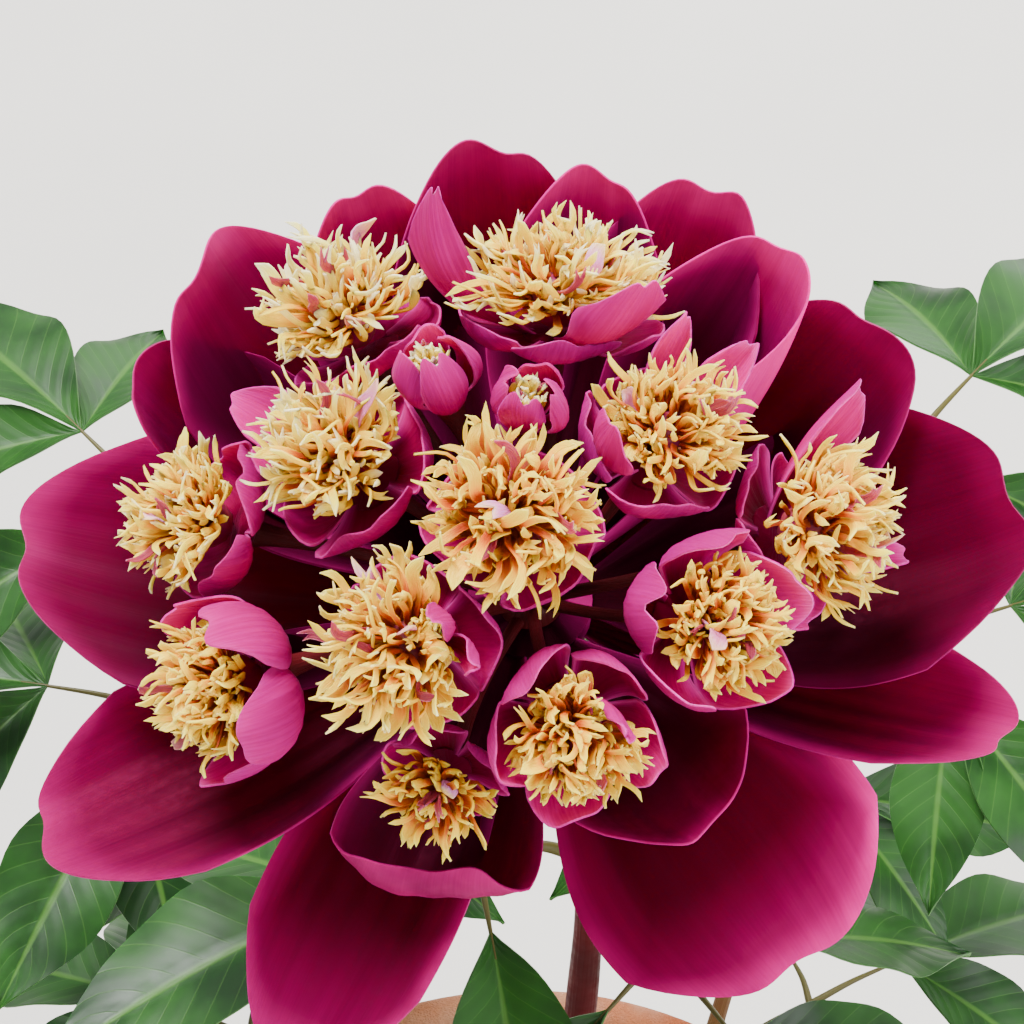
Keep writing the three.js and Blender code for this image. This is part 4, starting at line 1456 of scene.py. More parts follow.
    def ribbon_looks(self, count: int, draw: Draw) -> tuple[Array, Array, Array]:
        """Chooses the staminodes' tones, the few that blush or stay dark inside, and the widths.

        Args:
            count: how many there are.
            draw: the source of the choices.

        Returns:
            The tones, the blushes and the half widths.
        """
        blush = np.zeros(count)
        tone = draw.uniform(0.6 if self.is_bud else 0, 1, count)
        blush[draw.choice(count, self.blushes, replace=False)] = 1.0
        inner = draw.choice(count // 2, self.dark_inside, replace=False)
        blush[inner] = 1.0
        tone[inner] = 0.0
        # Warmer, darker tufts are partly their own orange and partly painted shade; paler ones are painted
        # light.
        tone = np.where(blush > 0, tone, tone * (1 - self.warmth_and_shade))
        broad = draw.uniform(0.6, 1.2, count) * np.where(draw.uniform(0, 1, count) < 0.16, 1.9, 1.0)
        return tone, blush, np.where(blush > 0, np.where(tone > 0, 2.6, 1.3), broad) * self.half_width

    def tuft(self, ribbon: "Ribbon") -> Piece:
        """Builds the tuft: staminodes drawn out of a small heart.

        Args:
            ribbon: the staminode that is copied.

        Returns:
            The tuft as one piece.
        """
        draw = np.random.default_rng(ord(self.name) * 31)
        crowded = self.ribbons * (self.radius / self.usual_radius) ** 2 * self.stretch
        count = self.bud_ribbons if self.is_bud else int(crowded)
        ways = self.ribbon_ways(count, draw)
        ends = self.ribbon_ends(ways, draw)
        tone, blush, width = self.ribbon_looks(count, draw)
        strands = Strands(
            roots=HEAD.place(self.place(self.on_heart(ways))),
            ends=HEAD.place(ends),
            upward=HEAD.place(self.axis[None])[0] - HEAD.place(np.zeros((1, 3)))[0],
            width=width,
            tone=tone,
            blush=blush,
        )
        ribbons = ribbon.copies(f"floret_{self.name}_ribbons", strands, draw)
        core = moved(ball("tuft_heart", 2), lambda ways: HEAD.place(self.place(self.on_heart(ways))))
        mark(core, "blush", 1.0)
        return joined(f"floret_{self.name}_tuft", [ribbons, core])


@dataclass
class Strands:
    """Where the copies of a ribbon go: root, end, half width and marks of each, and the way up of all."""

    roots: Array
    ends: Array
    upward: Array
    width: Array
    tone: Array
    blush: Array


@dataclass
class Ribbon:
    """A staminode, modelled once as a thin flat strip and then bent and copied."""

    steps: int = 9
    finer: int = 4
    thickness: float = 0.00062
    wave: float = 0.85
    twist: float = 1.1
    crowding: float = 1.35
    forked_share: float = 0.28

    def pattern(self) -> tuple[Array, Array, Array]:
        """Models the flat strip and reads it.

        Returns:
            Its corners (across from -1 to 1, along from 0 to 1, through from -1 to 1), faces and UVs.
        """

        def flat(u: Array, v: Array) -> Array:
            """Lays the strip flat."""
            return np.stack([v, u, 0 * u], axis=-1)

        strip = laid_sheet("strip", flat, (self.steps, 2), 0.02)
        corners, faces = corners_of(strip), faces_of(strip)
        uv = np.empty(len(strip.data.loops) * 2, np.float32)
        strip.data.uv_layers[0].data.foreach_get("uv", uv)
        bpy.data.objects.remove(strip)
        corners[:, 0] = np.clip(np.rint(corners[:, 0]), -1, 1)
        corners[:, 1] = np.clip(np.rint(corners[:, 1] * self.steps) / self.steps, 0, 1)
        corners[:, 2] = np.sign(corners[:, 2])
        return corners, faces, uv

    def courses(self, strands: Strands, draw: Draw) -> tuple[Array, Array, Array]:
        """Bends and twists a course for each strand.

        Args:
            strands: where the copies go.
            draw: the source of their small differences.

        Returns:
            At each step of each course its point, the way across the ribbon and the way through it.
        """
        count = len(strands.roots)
        full = strands.ends - strands.roots
        length = np.linalg.norm(full, axis=1) * draw.uniform(1.02, 1.18, count)
        ahead = unit(full)
        loose = strands.upward + draw.normal(0, 0.35, (count, 3))
        above = unit(loose - ahead * np.sum(loose * ahead, axis=1, keepdims=True))
        beside = np.cross(ahead, above)
        fine_steps = self.finer * self.steps
        share = np.linspace(0, 1, fine_steps + 1)[None, :, None]

        def pick(low: float, high: float) -> Array:
            """Draws a number for each strand."""
            return draw.uniform(low, high, (count, 1, 1))

        droop, sway = pick(-0.5, 1.3), pick(-0.8, 0.8)
        swing, rock = pick(0, 2 * np.pi), pick(0, 2 * np.pi)
        turns = 2 * np.pi * pick(0.5, 1.4)
        lift = droop * (2 * share - 0.75) + self.wave * np.sin(turns * share + swing) * share
        drift = sway * (2 * share - 0.75) + self.wave * np.sin(turns * share + rock) * share
        heading = unit(ahead[:, None] + above[:, None] * lift + beside[:, None] * drift)
        stride = heading * (length[:, None, None] / fine_steps)
        travelled = np.cumsum(stride, axis=1) - stride
        line = (strands.roots[:, None] + travelled)[:, :: self.finer]
        heading = heading[:, :: self.finer]
        roll = (pick(-1, 1) * self.twist * share)[:, :: self.finer]
        across = unit(np.cross(heading, above[:, None]))
        rolled = across * np.cos(roll) + np.cross(across, heading) * np.sin(roll)
        return line, rolled, np.cross(rolled, heading)

    def copies(self, name: str, strands: Strands, draw: Draw) -> Piece:
        """Lays a bent copy of the strip on each strand, some forked at the tip and the others pointed.

        Args:
            name: the new piece's name.
            strands: where the copies go.
            draw: the source of their small differences.

        Returns:
            All the copies as one piece.
        """
        corners, faces, uv = self.pattern()
        count = len(strands.roots)
        line, rolled, facing = self.courses(strands, draw)
        a, along, through = corners.T
        fork = np.where(draw.uniform(0, 1, count) < self.forked_share, draw.uniform(0.1, 0.24, count), -0.04)
        forked = fork[:, None] > 0
        pull = fork[:, None] * along**3 * (a == 0) + 0.06 * ~forked * along**3 * (a != 0)
        place = (1 - (1 - along[None]) ** self.crowding) * (1 - pull) * self.steps
        lower = np.clip(np.floor(place).astype(int), 0, self.steps - 1)
        between = (place - lower)[..., None]
        rows = np.arange(count)[:, None]

        def on_line(values: Array) -> Array:
            """Reads a vector at each corner's place along its strand."""
            return values[rows, lower] * (1 - between) + values[rows, lower + 1] * between

        blunt = draw.uniform(0.0, 0.4, (count, 1))
        taper = 0.8 + 0.2 * np.sin(np.pi * along) + blunt * along**3 - 0.3 * along**12
        half = strands.width[:, None] * (taper + np.where(forked, 0.45 * along**6, 0.0))
        cupped = 0.25 * half * (a**2)
        thick = 0.5 * self.thickness * through * (1 - 0.3 * along) * (1 - 0.35 * a**2)
        points = on_line(line) + on_line(rolled) * (half * a)[..., None]
        piece = repeated(name, points + on_line(facing) * (cupped + thick)[..., None], faces)
        piece.data.uv_layers.new(name="UVMap").data.foreach_set("uv", np.tile(uv, count))
        mark(piece, "tone", np.repeat(strands.tone, len(corners)))
        mark(piece, "blush", np.repeat(strands.blush, len(corners)))
        return piece


@dataclass
class FloretCrown:
    """All the florets of the head."""

    # Some tufts are made paler as painted light and others warmer and darker, partly painted shade; some
    # collars are made lighter or darker as painted light and shade.
    florets: list[Floret] = field(default_factory=lambda: [
        Floret("a", 131, 51, 0.070, 0.0175, 0.0, 4, 20, warmth_and_shade=-0.35),
        Floret("b", 83, 40, 0.066, 0.0165, 0.1, 5, 60, 1.45, (
            Petaloid(302, 1.2, 0.62, (1.38, -0.4), 1.1),
            Petaloid(182, 1.02, 1.25, (1.2, -0.35), 0.55, pointed=0.6, twist=80),
        ), warmth_and_shade=-0.15),
        Floret("c", 168, 36, 0.062, 0.018, 0.2, 4, 10, petaloids=(
            Petaloid(143, 1.42, 0.5, (1.15, -0.05), 0.8, twist=8),
            Petaloid(170, 1.1, 0.4, (1.0, -0.1), 0.55),
        ), warmth_and_shade=0.0),
        Floret("d", 246, 10, 0.063, 0.018, 0.0, 4, 35, warmth_and_shade=0.85),
        Floret("e", 23, 27, 0.060, 0.0175, 0.3, 4, 0, petaloids=(
            Petaloid(50, 1.0, 0.85, (1.1, -0.1), 0.62),
            Petaloid(95, 0.95, 0.8, (1.0, -0.1), 0.5),
            Petaloid(208, 1.02, 0.5, (1.2, -0.2), 0.9),
        ), warmth_and_shade=0.6),
        Floret("f", 358, 54, 0.066, 0.018, 0.0, 4, 50, petaloids=(
            Petaloid(98, 1.32, 0.75, (1.15, 0.0), 0.85, pointed=0.5),
            Petaloid(0, 1.15, 0.45, (1.0, -0.2), 0.55),
        ), warmth_and_shade=0.5),
        Floret("g", 177, 64, 0.071, 0.017, 0.35, 4, 15, lit_flush=0.7),
        Floret("h", 207, 67, 0.070, 0.019, 0.9, 5, 40, warmth_and_shade=0.7, lit_flush=1.2),
        Floret("i", 233, 37, 0.062, 0.0175, 0.0, 4, 0, petaloids=(
            Petaloid(25, 0.75, 0.95, (0.8, 0.1), 0.5),
            Petaloid(350, 0.95, 0.7, (0.95, 0.0), 0.45),
        ), warmth_and_shade=0.5),
        Floret("j", 323, 41, 0.063, 0.0185, 1.0, 5, 30, warmth_and_shade=0.9, lit_flush=1.9),
        Floret("k", 280, 47, 0.061, 0.0175, 0.8, 5, 55, petaloids=(
            Petaloid(45, 0.5, 0.95, (0.7, 0.2), 0.4),
        ), warmth_and_shade=0.9),
        Floret("l", 250, 67, 0.055, 0.012, 0.2, 4, 10, warmth_and_shade=1.0),
        Floret("m", 134, 22, 0.066, 0.010, 2.0, 4, 25, warmth_and_shade=0.0),
        Floret("n", 92, 10, 0.064, 0.009, 2.0, 4, 70, warmth_and_shade=0.0),
    ])

    def __post_init__(self) -> None:
        """Parts each floret from the others."""
        for floret in self.florets:
            floret.part_from(self.florets)

    def bent_clear(self, points: Array) -> Array:
        """Pushes points smoothly out of the florets' balls.

        Args:
            points: in the head's frame.

        Returns:
            The pushed points.
        """
        softness, share, gap = 7, 1.06, 0.0012
        for floret in self.florets:
            away = points - floret.centre
            distance = np.linalg.norm(away, axis=1)
            least = share * floret.radius + gap
            pushed = (distance**softness + least**softness) ** (1 / softness)
            points = floret.centre + away * (pushed / distance)[:, None]
        return points

    def build(self) -> None:
        """Builds and dresses every collar and tuft."""
        collar_material = COLLAR_FINISH.material()
        tuft_material = StaminodeFinish().material()
        ribbon = Ribbon()
        for floret in self.florets:
            mounted(floret.collar(), [f"collar_{floret.name}"], collar_material)
            mounted(floret.tuft(ribbon), [f"tuft_{floret.name}"], tuft_material)


# Guard petals and sepals


@dataclass(frozen=True)
class GuardPetal:
    """One guard petal: where it points, how far its tip reaches and rises, its bow, width and fold."""

    azimuth: float
    reach: float
    rise: float
    bow: Pair
    width: float
    fold: float
    whorl: Whorl
    roll: float = 0.0
    curl: float = 0.0
    # Painted light and shade: how light the petal is made for how it is lit, and the side made lighter, from
    # -1 to 1 across.
    tone: float = 0.4
    bias: float = 0.0
    notch: float = 0.03
    frill: float = 0.0011

    def shape(self, ring: Triple) -> PetalShape:
        """Gives the petal's shape.

        Args:
            ring: the radius, top and bottom of the ring that it grows from.

        Returns:
            The shape in the head's frame.
        """
        radius, top, bottom = ring
        inset = 0.0012
        root_height = bottom + inset if self.whorl is Whorl.OUTER else top - inset
        return PetalShape(
            azimuth=self.azimuth,
            root=(radius - 0.0025, root_height),
            bow=self.bow,
            tip=(self.reach, self.rise),
            width=self.width,
            fold=self.fold,
            claw=0.12,
            overlap=0.0025,
            ripple=0.0015,
            frill=self.frill,
            crease=0.00035,
            notch=self.notch,
            curl=self.curl,
            roll=self.roll,
        )


@dataclass
class GuardWhorls:
    """The bowl of guard petals and the ring that they grow from."""

    crown: FloretCrown
    ring: Triple = (0.0125, 0.0005, -0.0065)
    bore: float = 0.0073
    thickness: float = 0.0005
    # Each petal is made lighter or darker, and lighter on one side, as painted light and shade.
    petals: tuple[GuardPetal, ...] = (
        GuardPetal(97, 0.077, 0.050, (0.060, -0.002), 0.044, 30, Whorl.OUTER, tone=0.28),
        GuardPetal(80, 0.073, 0.046, (0.058, 0.0), 0.038, 40, Whorl.INNER, tone=0.55),
        GuardPetal(63, 0.079, 0.045, (0.060, -0.002), 0.042, 40, Whorl.OUTER, tone=0.5),
        GuardPetal(48, 0.076, 0.043, (0.058, 0.0), 0.046, 60, Whorl.INNER, roll=-190, tone=1.6, bias=-0.6),
        GuardPetal(32, 0.083, 0.034, (0.062, -0.003), 0.048, 40, Whorl.OUTER, tone=0.15),
        GuardPetal(6, 0.096, 0.025, (0.060, -0.006), 0.060, 25, Whorl.INNER, tone=0.1),
        GuardPetal(343, 0.099, 0.004, (0.052, -0.008), 0.032, 42, Whorl.OUTER, tone=0.35),
        GuardPetal(307, 0.090, -0.010, (0.060, 0.002), 0.064, -18, Whorl.OUTER, tone=1.3, bias=0.7),
        GuardPetal(301, 0.064, 0.023, (0.044, -0.003), 0.042, 35, Whorl.INNER, tone=0.3),
        GuardPetal(241, 0.099, -0.027, (0.060, -0.004), 0.042, 30, Whorl.OUTER, tone=0.35),
        GuardPetal(251, 0.072, 0.005, (0.060, -0.012), 0.046, 50, Whorl.INNER, curl=0.013, tone=0.18),
        GuardPetal(208, 0.108, -0.003, (0.060, -0.010), 0.046, 35, Whorl.INNER, tone=0.28),
        GuardPetal(176, 0.102, 0.014, (0.060, -0.007), 0.058, 22, Whorl.OUTER, tone=0.45, bias=-0.5),
        GuardPetal(155, 0.085, 0.033, (0.062, -0.004), 0.040, 45, Whorl.INNER, tone=0.25),
        GuardPetal(139, 0.087, 0.040, (0.064, -0.003), 0.052, 28, Whorl.OUTER, tone=0.75, bias=-0.2),
        GuardPetal(117, 0.076, 0.045, (0.060, -0.001), 0.038, 30, Whorl.INNER, tone=0.6),
    )

    def build(self) -> None:
        """Builds and dresses the petals and their ring."""
        material = GUARD_FINISH.material()
        for number, petal in enumerate(self.petals, start=1):
            lay = partial(self.clear_of_florets, petal.shape(self.ring))
            sheet = petal_sheet("guard_sheet", lay, (40, 32), self.thickness, petal.tone)
            # The sheet keeps its painted light and its lit side for the finish.
            mark(sheet, "bias", petal.bias)
            mounted(joined(f"guard_petal_{number:02d}", [sheet]), ["guard_petals"], material)
        mounted(self.seat(), ["guard_petals"], material)

    def clear_of_florets(self, shape: PetalShape, u: Array, v: Array) -> Array:
        """Gives points of a petal, bent clear of the florets."""
        return self.crown.bent_clear(shape.lay(u, v))

    def seat(self) -> Piece:
        """Builds the fleshy ring at the petals' feet.

        Returns:
            The ring.
        """
        radius, top, bottom = self.ring
        ring = turned_piece("petal_seat", [(radius, bottom), (radius, top), (self.bore, top + 0.0008)], 40)
        # The ring's painted light.
        mark(moved(ring, HEAD.place), "tone", 0.5)
        return joined("petal_seat", [ring], SEAM_ANGLE)


@dataclass
class Sepals:
    """The ring of green leaflets under the petals. Heights are in the head's frame."""

    radius: float = 0.009
    bottom: float = -0.011
    middle: float = -0.009
    top: float = -0.007
    thickness: float = 0.0008
    # How lit the sepals are painted.
    tone: float = 0.7
    count: int = 6
    turn: float = 15.0
    width: float = 0.012

    def build(self) -> None:
        """Builds and dresses the sepals and their ring as one piece."""
        sheets = []
        for number in range(self.count):
            shape = PetalShape(
                azimuth=self.turn + 360 * number / self.count,
                root=(self.radius - 0.001, self.bottom + 0.001),
                bow=(self.radius + 0.010, self.bottom - 0.002),
                tip=(self.radius + 0.018 + 0.003 * (number % 2), self.bottom - 0.009 - 0.004 * (number % 3)),
                width=self.width,
                fold=25,
                claw=0.4,
                frill=0.0003,
                crease=0.00015,
                tip_rounding=0.42,
            )
            sheets.append(petal_sheet("sepal_sheet", shape.lay, (12, 10), self.thickness, self.tone))
        rings = [(0.0075, self.bottom), (self.radius, self.middle), (0.0078, self.top)]
        ring = moved(turned_piece("sepal_ring", rings, 32), HEAD.place)
        mounted(joined("sepal_whorl", [*sheets, ring]), ["sepals"], SEPAL_FINISH.material())


# Stems


@dataclass
class Stem:
    """A stem from the soil up: the points that it passes and its radius at the foot and the top."""

    node: str
    path: list[Triple]
    radii: Pair = (0.0034, 0.0012)

    def __post_init__(self) -> None:
        """Runs the curve through the path."""
        self.curve = Curve(self.path)

    def radius_at(self, share: Array | float) -> Array | float:
        """Gives the radius at a share of the length."""
        return self.radii[0] + (self.radii[1] - self.radii[0]) * share

    def tube(self, name: str, steps: int = 48, sides: int = 16) -> Piece:
        """Builds the stem, which swells a little at even spaces.

        Args:
            name: the piece's name.
            steps: along the stem.
            sides: round it.

        Returns:
            The stem.
        """
        share = np.linspace(0, 1, steps + 1)
        swell = 1 + 0.05 * np.sin(share * 37)
        return laid_tube(name, self.curve.at(share), self.radius_at(share) * swell, sides)


@dataclass
class FloweringStem:
    """The thick red stem with its side branch, the receptacle and a stalk for each floret."""

    crown: FloretCrown
    stem: Stem
    branch: Stem
    receptacle: tuple[Pair, ...] = (
        (0.0042, -0.016),
        (0.0058, -0.0135),
        (0.007, -0.0115),
        (0.0071, -0.005),
        (0.007, 0.001),
        (0.0062, 0.004),
        (0.0045, 0.006),
    )
    pedicel: float = 0.0015

    def build(self) -> None:
        """Builds and dresses the stem as one piece."""
        knob = turned_piece("receptacle", list(self.receptacle), 24)
        parts = [self.stem.tube("main", 70, 20), self.branch.tube("branch", 30, 12), moved(knob, HEAD.place)]
        parts.extend(self.stalk(floret) for floret in self.crown.florets)
        piece = joined("flowering_stem", parts, SEAM_ANGLE)
        mounted(piece, [self.stem.node], RED_STEM_FINISH.material())

    def stalk(self, floret: Floret) -> Piece:
        """Builds a floret's stalk, a little bowed and wider under its plate.

        Args:
            floret: that the stalk carries.

        Returns:
            The stalk.
        """
        start, bow = 0.003, 0.0012
        end = floret.distance + floret.plate_height - PETAL_THICKNESS / 2
        share = np.linspace(0, 1, 13)
        along = start + (end - start) * share
        side = np.cross(floret.axis, UP + 0.01)
        line = floret.axis * along[:, None] + unit(side) * (bow * np.sin(np.pi * share))[:, None]
        radii = self.pedicel * (1 - 0.2 * np.sin(np.pi * share) + 1.1 * share**9)
        return laid_tube("stalk", HEAD.place(line), radii, 10)


# Leaves


@dataclass(frozen=True)
class Way:
    """A direction with the side that faces up, both of length 1."""

    forward: Array
    upward: Array

    def turned(self, yaw: float, pitch: float) -> "Way":
        """Turns the way about its upward side and then noses it down.

        Args:
            yaw: degrees to the left.
            pitch: degrees down.

        Returns:
            The turned way.
        """
        forward = rotation(self.upward, yaw) @ self.forward
        side = np.cross(self.upward, forward)
        dip = rotation(side, pitch)
        return Way(dip @ forward, dip @ self.upward)


@dataclass
class Leaf:
    """A compound leaf: the stem that it grows from, how far up, which way, and its sizes."""

    node: str
    stem: Stem
    at: float
    azimuth: float
    climb: float
    stalk: float
    length: float
    leaflets: int
    half_width: float = 0.21
    droop: float = 0.2
    knee: float = 0.55
    past_knee: float = 0.45
    stalk_radii: Pair = (0.0017, 0.0011)
    arm_radii: Pair = (0.0011, 0.0003)
    side_scale: float = 0.8
    side_lift: float = 0.26
    ripple: float = 0.035
    edge_wave: float = 0.016
    climb_left: float = 0.25
    arm_arch: float = 0.0012
    past_arm: float = 0.0026
    in_leaflet: float = 0.09
    tip_dip: float = 6.0
    side_dip: float = 12.0
    middle_arm_turn: float = 58.0
    side_arm_turn: float = 46.0

    def build(self, material: Material) -> None:
        """Builds and dresses the leaf as one piece.

        Args:
            material: the leaves' finish.
        """
        draw = np.random.default_rng(int(self.node[-2:]) * 13)
        level = Way(direction(self.azimuth), UP)
        out = level.turned(0, -self.climb)
        far = level.turned(0, -self.climb_left * self.climb)
        base = self.stem.curve.at(self.at)
        along = self.stem.curve.heading(self.at)
        off = unit(out.forward - along * np.dot(out.forward, along))
        skin = float(self.stem.radius_at(self.at))
        bend = base + out.forward * self.knee * self.stalk
        fork = bend + far.forward * self.past_knee * self.stalk
        parts = [self.rod(Curve([base + off * 0.5 * skin, bend, fork]), self.stalk_radii, 14)]
        for side, yaw, pitch, share, scale in self.arms():
            arm = far.turned(yaw, pitch)
            tip_way = arm.turned(0, self.tip_dip)
            middle = fork + arm.forward * 0.5 * share * self.length + arm.upward * self.arm_arch
            end = fork + arm.forward * (share * self.length + self.past_arm)
            inside = end + tip_way.forward * self.in_leaflet * self.length
            line = Curve([fork - far.forward * 0.001, middle, end, inside])
            parts.append(self.rod(line, self.arm_radii, 10))
            parts.append(self.leaflet(end, tip_way, self.length * scale, draw))
            for way in self.side_ways(arm, side):
                parts.append(self.leaflet(end, way, self.length * scale * self.side_scale, draw))
        piece = joined(self.node.replace("leaf", "foliage"), parts)
        mounted(piece, [self.node], material)

    def arms(self) -> list[tuple[int, float, float, float, float]]:
        """Lists the arms that the stalk parts in: side, turn, nose-down, share of the length and scale."""
        whole = [(0, 0.0, 4.0, 0.34, 1.0), (1, 78.0, 10.0, 0.2, 0.86), (-1, -78.0, 10.0, 0.2, 0.86)]
        return whole if self.leaflets > 3 else whole[:1]

    def side_ways(self, arm: Way, side: int) -> list[Way]:
        """Lists the ways of an arm's side leaflets: two on the middle arm, one on the others of a full leaf.

        Args:
            arm: the arm's own way.
            side: the side that it leaves on, 0 for the middle arm.

        Returns:
            The ways.
        """
        if side == 0:
            return [arm.turned(hand * self.middle_arm_turn, self.side_dip) for hand in (1, -1)]
        if self.leaflets < 7:
            return []
        return [arm.turned(side * self.side_arm_turn, self.side_dip)]

    def rod(self, line: Curve, radii: Pair, steps: int) -> Piece:
        """Builds a round stalk along a curve.

        Args:
            line: the curve.
            radii: at its start and its end.
            steps: how many it has.

        Returns:
            The stalk.
        """
        share = np.linspace(0, 1, steps + 1)
        rod = laid_tube("rod", line.at(share), radii[0] + (radii[1] - radii[0]) * share, 8)
        mark(rod, "stalk", 1.0)
        return rod

    def leaflet(self, root: Array, way: Way, length: float, draw: Draw) -> Piece:
        """Builds a pointed leaflet with a sunk midrib, waved edges and a drooping tip.

        Args:
            root: where it starts.
            way: where it points.
            length: from root to tip.
            draw: the source of small differences.

        Returns:
            The leaflet.
        """
        sideways = np.cross(way.upward, way.forward)
        phase, sweep = draw.uniform(0, 6), draw.uniform(-0.05, 0.05)
        broad = draw.uniform(0.97, 1.12)

        def lay(u: Array, v: Array) -> Array:
            """Places the grid on the leaflet.

            Args:
                u: from 0 at the root to 1 at the tip.
                v: from -1 to 1 across.

            Returns:
                The points as rows.
            """
            half = broad * self.half_width * length * np.sin(np.pi * np.clip(u, 0, 1)) ** 1.15
            lift = self.side_lift * half * np.abs(v) ** 0.85
            lift += self.ripple * length * np.sin(7 * u) * v * v - self.droop * length * u * u
            edge = self.edge_wave * length * np.abs(v) ** 3 * np.sin(17 * u + phase * np.sign(v + 0.01))
            lift += edge * np.sin(np.pi * u)
            aside = half * v + sweep * length * u * u
            level = root + (length * u)[:, None] * way.forward
            return level + aside[:, None] * sideways + lift[:, None] * way.upward

        return laid_sheet("leaflet", lay, (22, 10), 0.0005)


@dataclass
class Foliage:
    """The leafy shoots and all the leaves, those on the flowering stem too."""

    flowering: Stem
    shoots: dict[str, Stem]
    leaves: tuple[tuple[str, float, float, float, float, float, int], ...] = (
        ("flower_stem", 0.71, 205, 38, 0.034, 0.078, 5),
        ("flower_stem", 0.66, 302, 35, 0.034, 0.078, 5),
        ("flower_stem", 0.69, 92, 40, 0.034, 0.070, 5),
        ("flower_stem", 0.42, 266, 40, 0.038, 0.078, 3),
        ("shoot_back_right", 0.975, 50, 62, 0.022, 0.076, 5),
        ("shoot_back_right", 0.8, 20, 45, 0.030, 0.078, 7),
        ("shoot_back_right", 0.58, 80, 35, 0.034, 0.078, 7),
        ("shoot_back_right", 0.38, 28, 25, 0.038, 0.076, 7),
        ("shoot_back_left", 0.975, 132, 62, 0.022, 0.076, 5),
        ("shoot_back_left", 0.78, 170, 45, 0.030, 0.078, 7),
        ("shoot_back_left", 0.55, 108, 35, 0.034, 0.078, 7),
        ("shoot_back_left", 0.36, 158, 25, 0.038, 0.076, 7),
        ("shoot_front_left", 0.97, 218, 45, 0.022, 0.076, 5),
        ("shoot_front_left", 0.68, 172, 34, 0.032, 0.076, 7),
        ("shoot_front_left", 0.42, 245, 25, 0.036, 0.074, 7),
        ("shoot_front_right", 0.97, 322, 45, 0.022, 0.076, 5),
        ("shoot_front_right", 0.68, 12, 34, 0.032, 0.076, 7),
        ("shoot_front_right", 0.42, 292, 25, 0.036, 0.074, 7),
    )

    def build(self) -> None:
        """Builds and dresses the shoots and the leaves."""
        green = GREEN_STEM_FINISH.material()
        for name, stem in self.shoots.items():
            piece = joined(name.replace("shoot", "leafy_stem"), [stem.tube(name)], SEAM_ANGLE)
            mounted(piece, [name], green)
        material = LeafFinish().material()
        stems = {**self.shoots, self.flowering.node: self.flowering}
        for number, (stem, *sizes) in enumerate(self.leaves, start=1):
            Leaf(f"leaf_{number:02d}", stems[stem], *sizes).build(material)


# Pot and soil


@dataclass
class Pot:
    """The clay pot, sized by its box in the frame."""

    wall: float = 0.008
    floor: float = 0.011
    band: float = 0.034
    foot_share: float = 0.69
    shoulder_share: float = 0.92
    sides: int = 112
    drain_radius: float = 0.006
    drain_circle: float = 0.042
    drains: int = 3
    plug_length: float = 0.04
    side_gap: float = 0.002

    def __post_init__(self) -> None:
        """Reads the pot's height and outer radius from the frame."""
        low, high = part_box("pot")
        self.height = high.z - low.z
        self.radius = (high.x - low.x) / 2 - self.side_gap

    def build(self) -> None:
        """Turns the pot, cuts its drains and dresses it."""
        foot, shoulder, top = self.foot_share * self.radius, self.shoulder_share * self.radius, self.height
        band, mouth = top - self.band, self.radius - self.wall - 0.004
        rings = [
            (foot - 0.014, 0.0),
            (foot - 0.003, 0.0),
            (foot - 0.001, 0.0008),
            (foot, 0.003),
            (shoulder - 0.0006, band - 0.002),
            (shoulder + 0.0006, band - 0.0006),
            (self.radius - 0.004, band),
            (self.radius - 0.001, band + 0.0008),
            (self.radius, band + 0.003),
            (self.radius + 0.0018, top - 0.004),
            (self.radius + 0.0014, top - 0.0015),
            (self.radius - 0.0004, top - 0.0002),
            (self.radius - 0.004, top),
            (mouth + 0.004, top - 0.0002),
            (mouth + 0.002, top - 0.0015),
            (mouth + 0.001, top - 0.005),
            (mouth, band + 0.003),
            (foot - self.wall, self.floor),
        ]
        pot = turned_piece("clay_pot", rings, self.sides)
        cutter = self.drain_plugs()
        hole = pot.modifiers.new("drains", "BOOLEAN")
        hole.operation = "DIFFERENCE"
        hole.object = cutter
        work_on(pot)
        bpy.ops.object.modifier_apply(modifier="drains")
        bpy.data.objects.remove(cutter)
        mounted(joined("clay_pot", [pot], 35.0), ["pot"], ClayFinish().material(self.height))

    def drain_plugs(self) -> Piece:
        """Makes the round plugs that cut the drain holes.

        Returns:
            The plugs as one piece.
        """
        plugs = []
        for number in range(self.drains):
            place = direction(360 * (number + 0.5) / self.drains) * self.drain_circle
            deselect()
            size = {"vertices": 24, "radius": self.drain_radius, "depth": self.plug_length}
            bpy.ops.mesh.primitive_cylinder_add(**size, location=place)
            bpy.ops.object.transform_apply(location=True, rotation=True, scale=True)
            plugs.append(bpy.context.object)
        return joined("drain_plugs", plugs, SEAM_ANGLE)


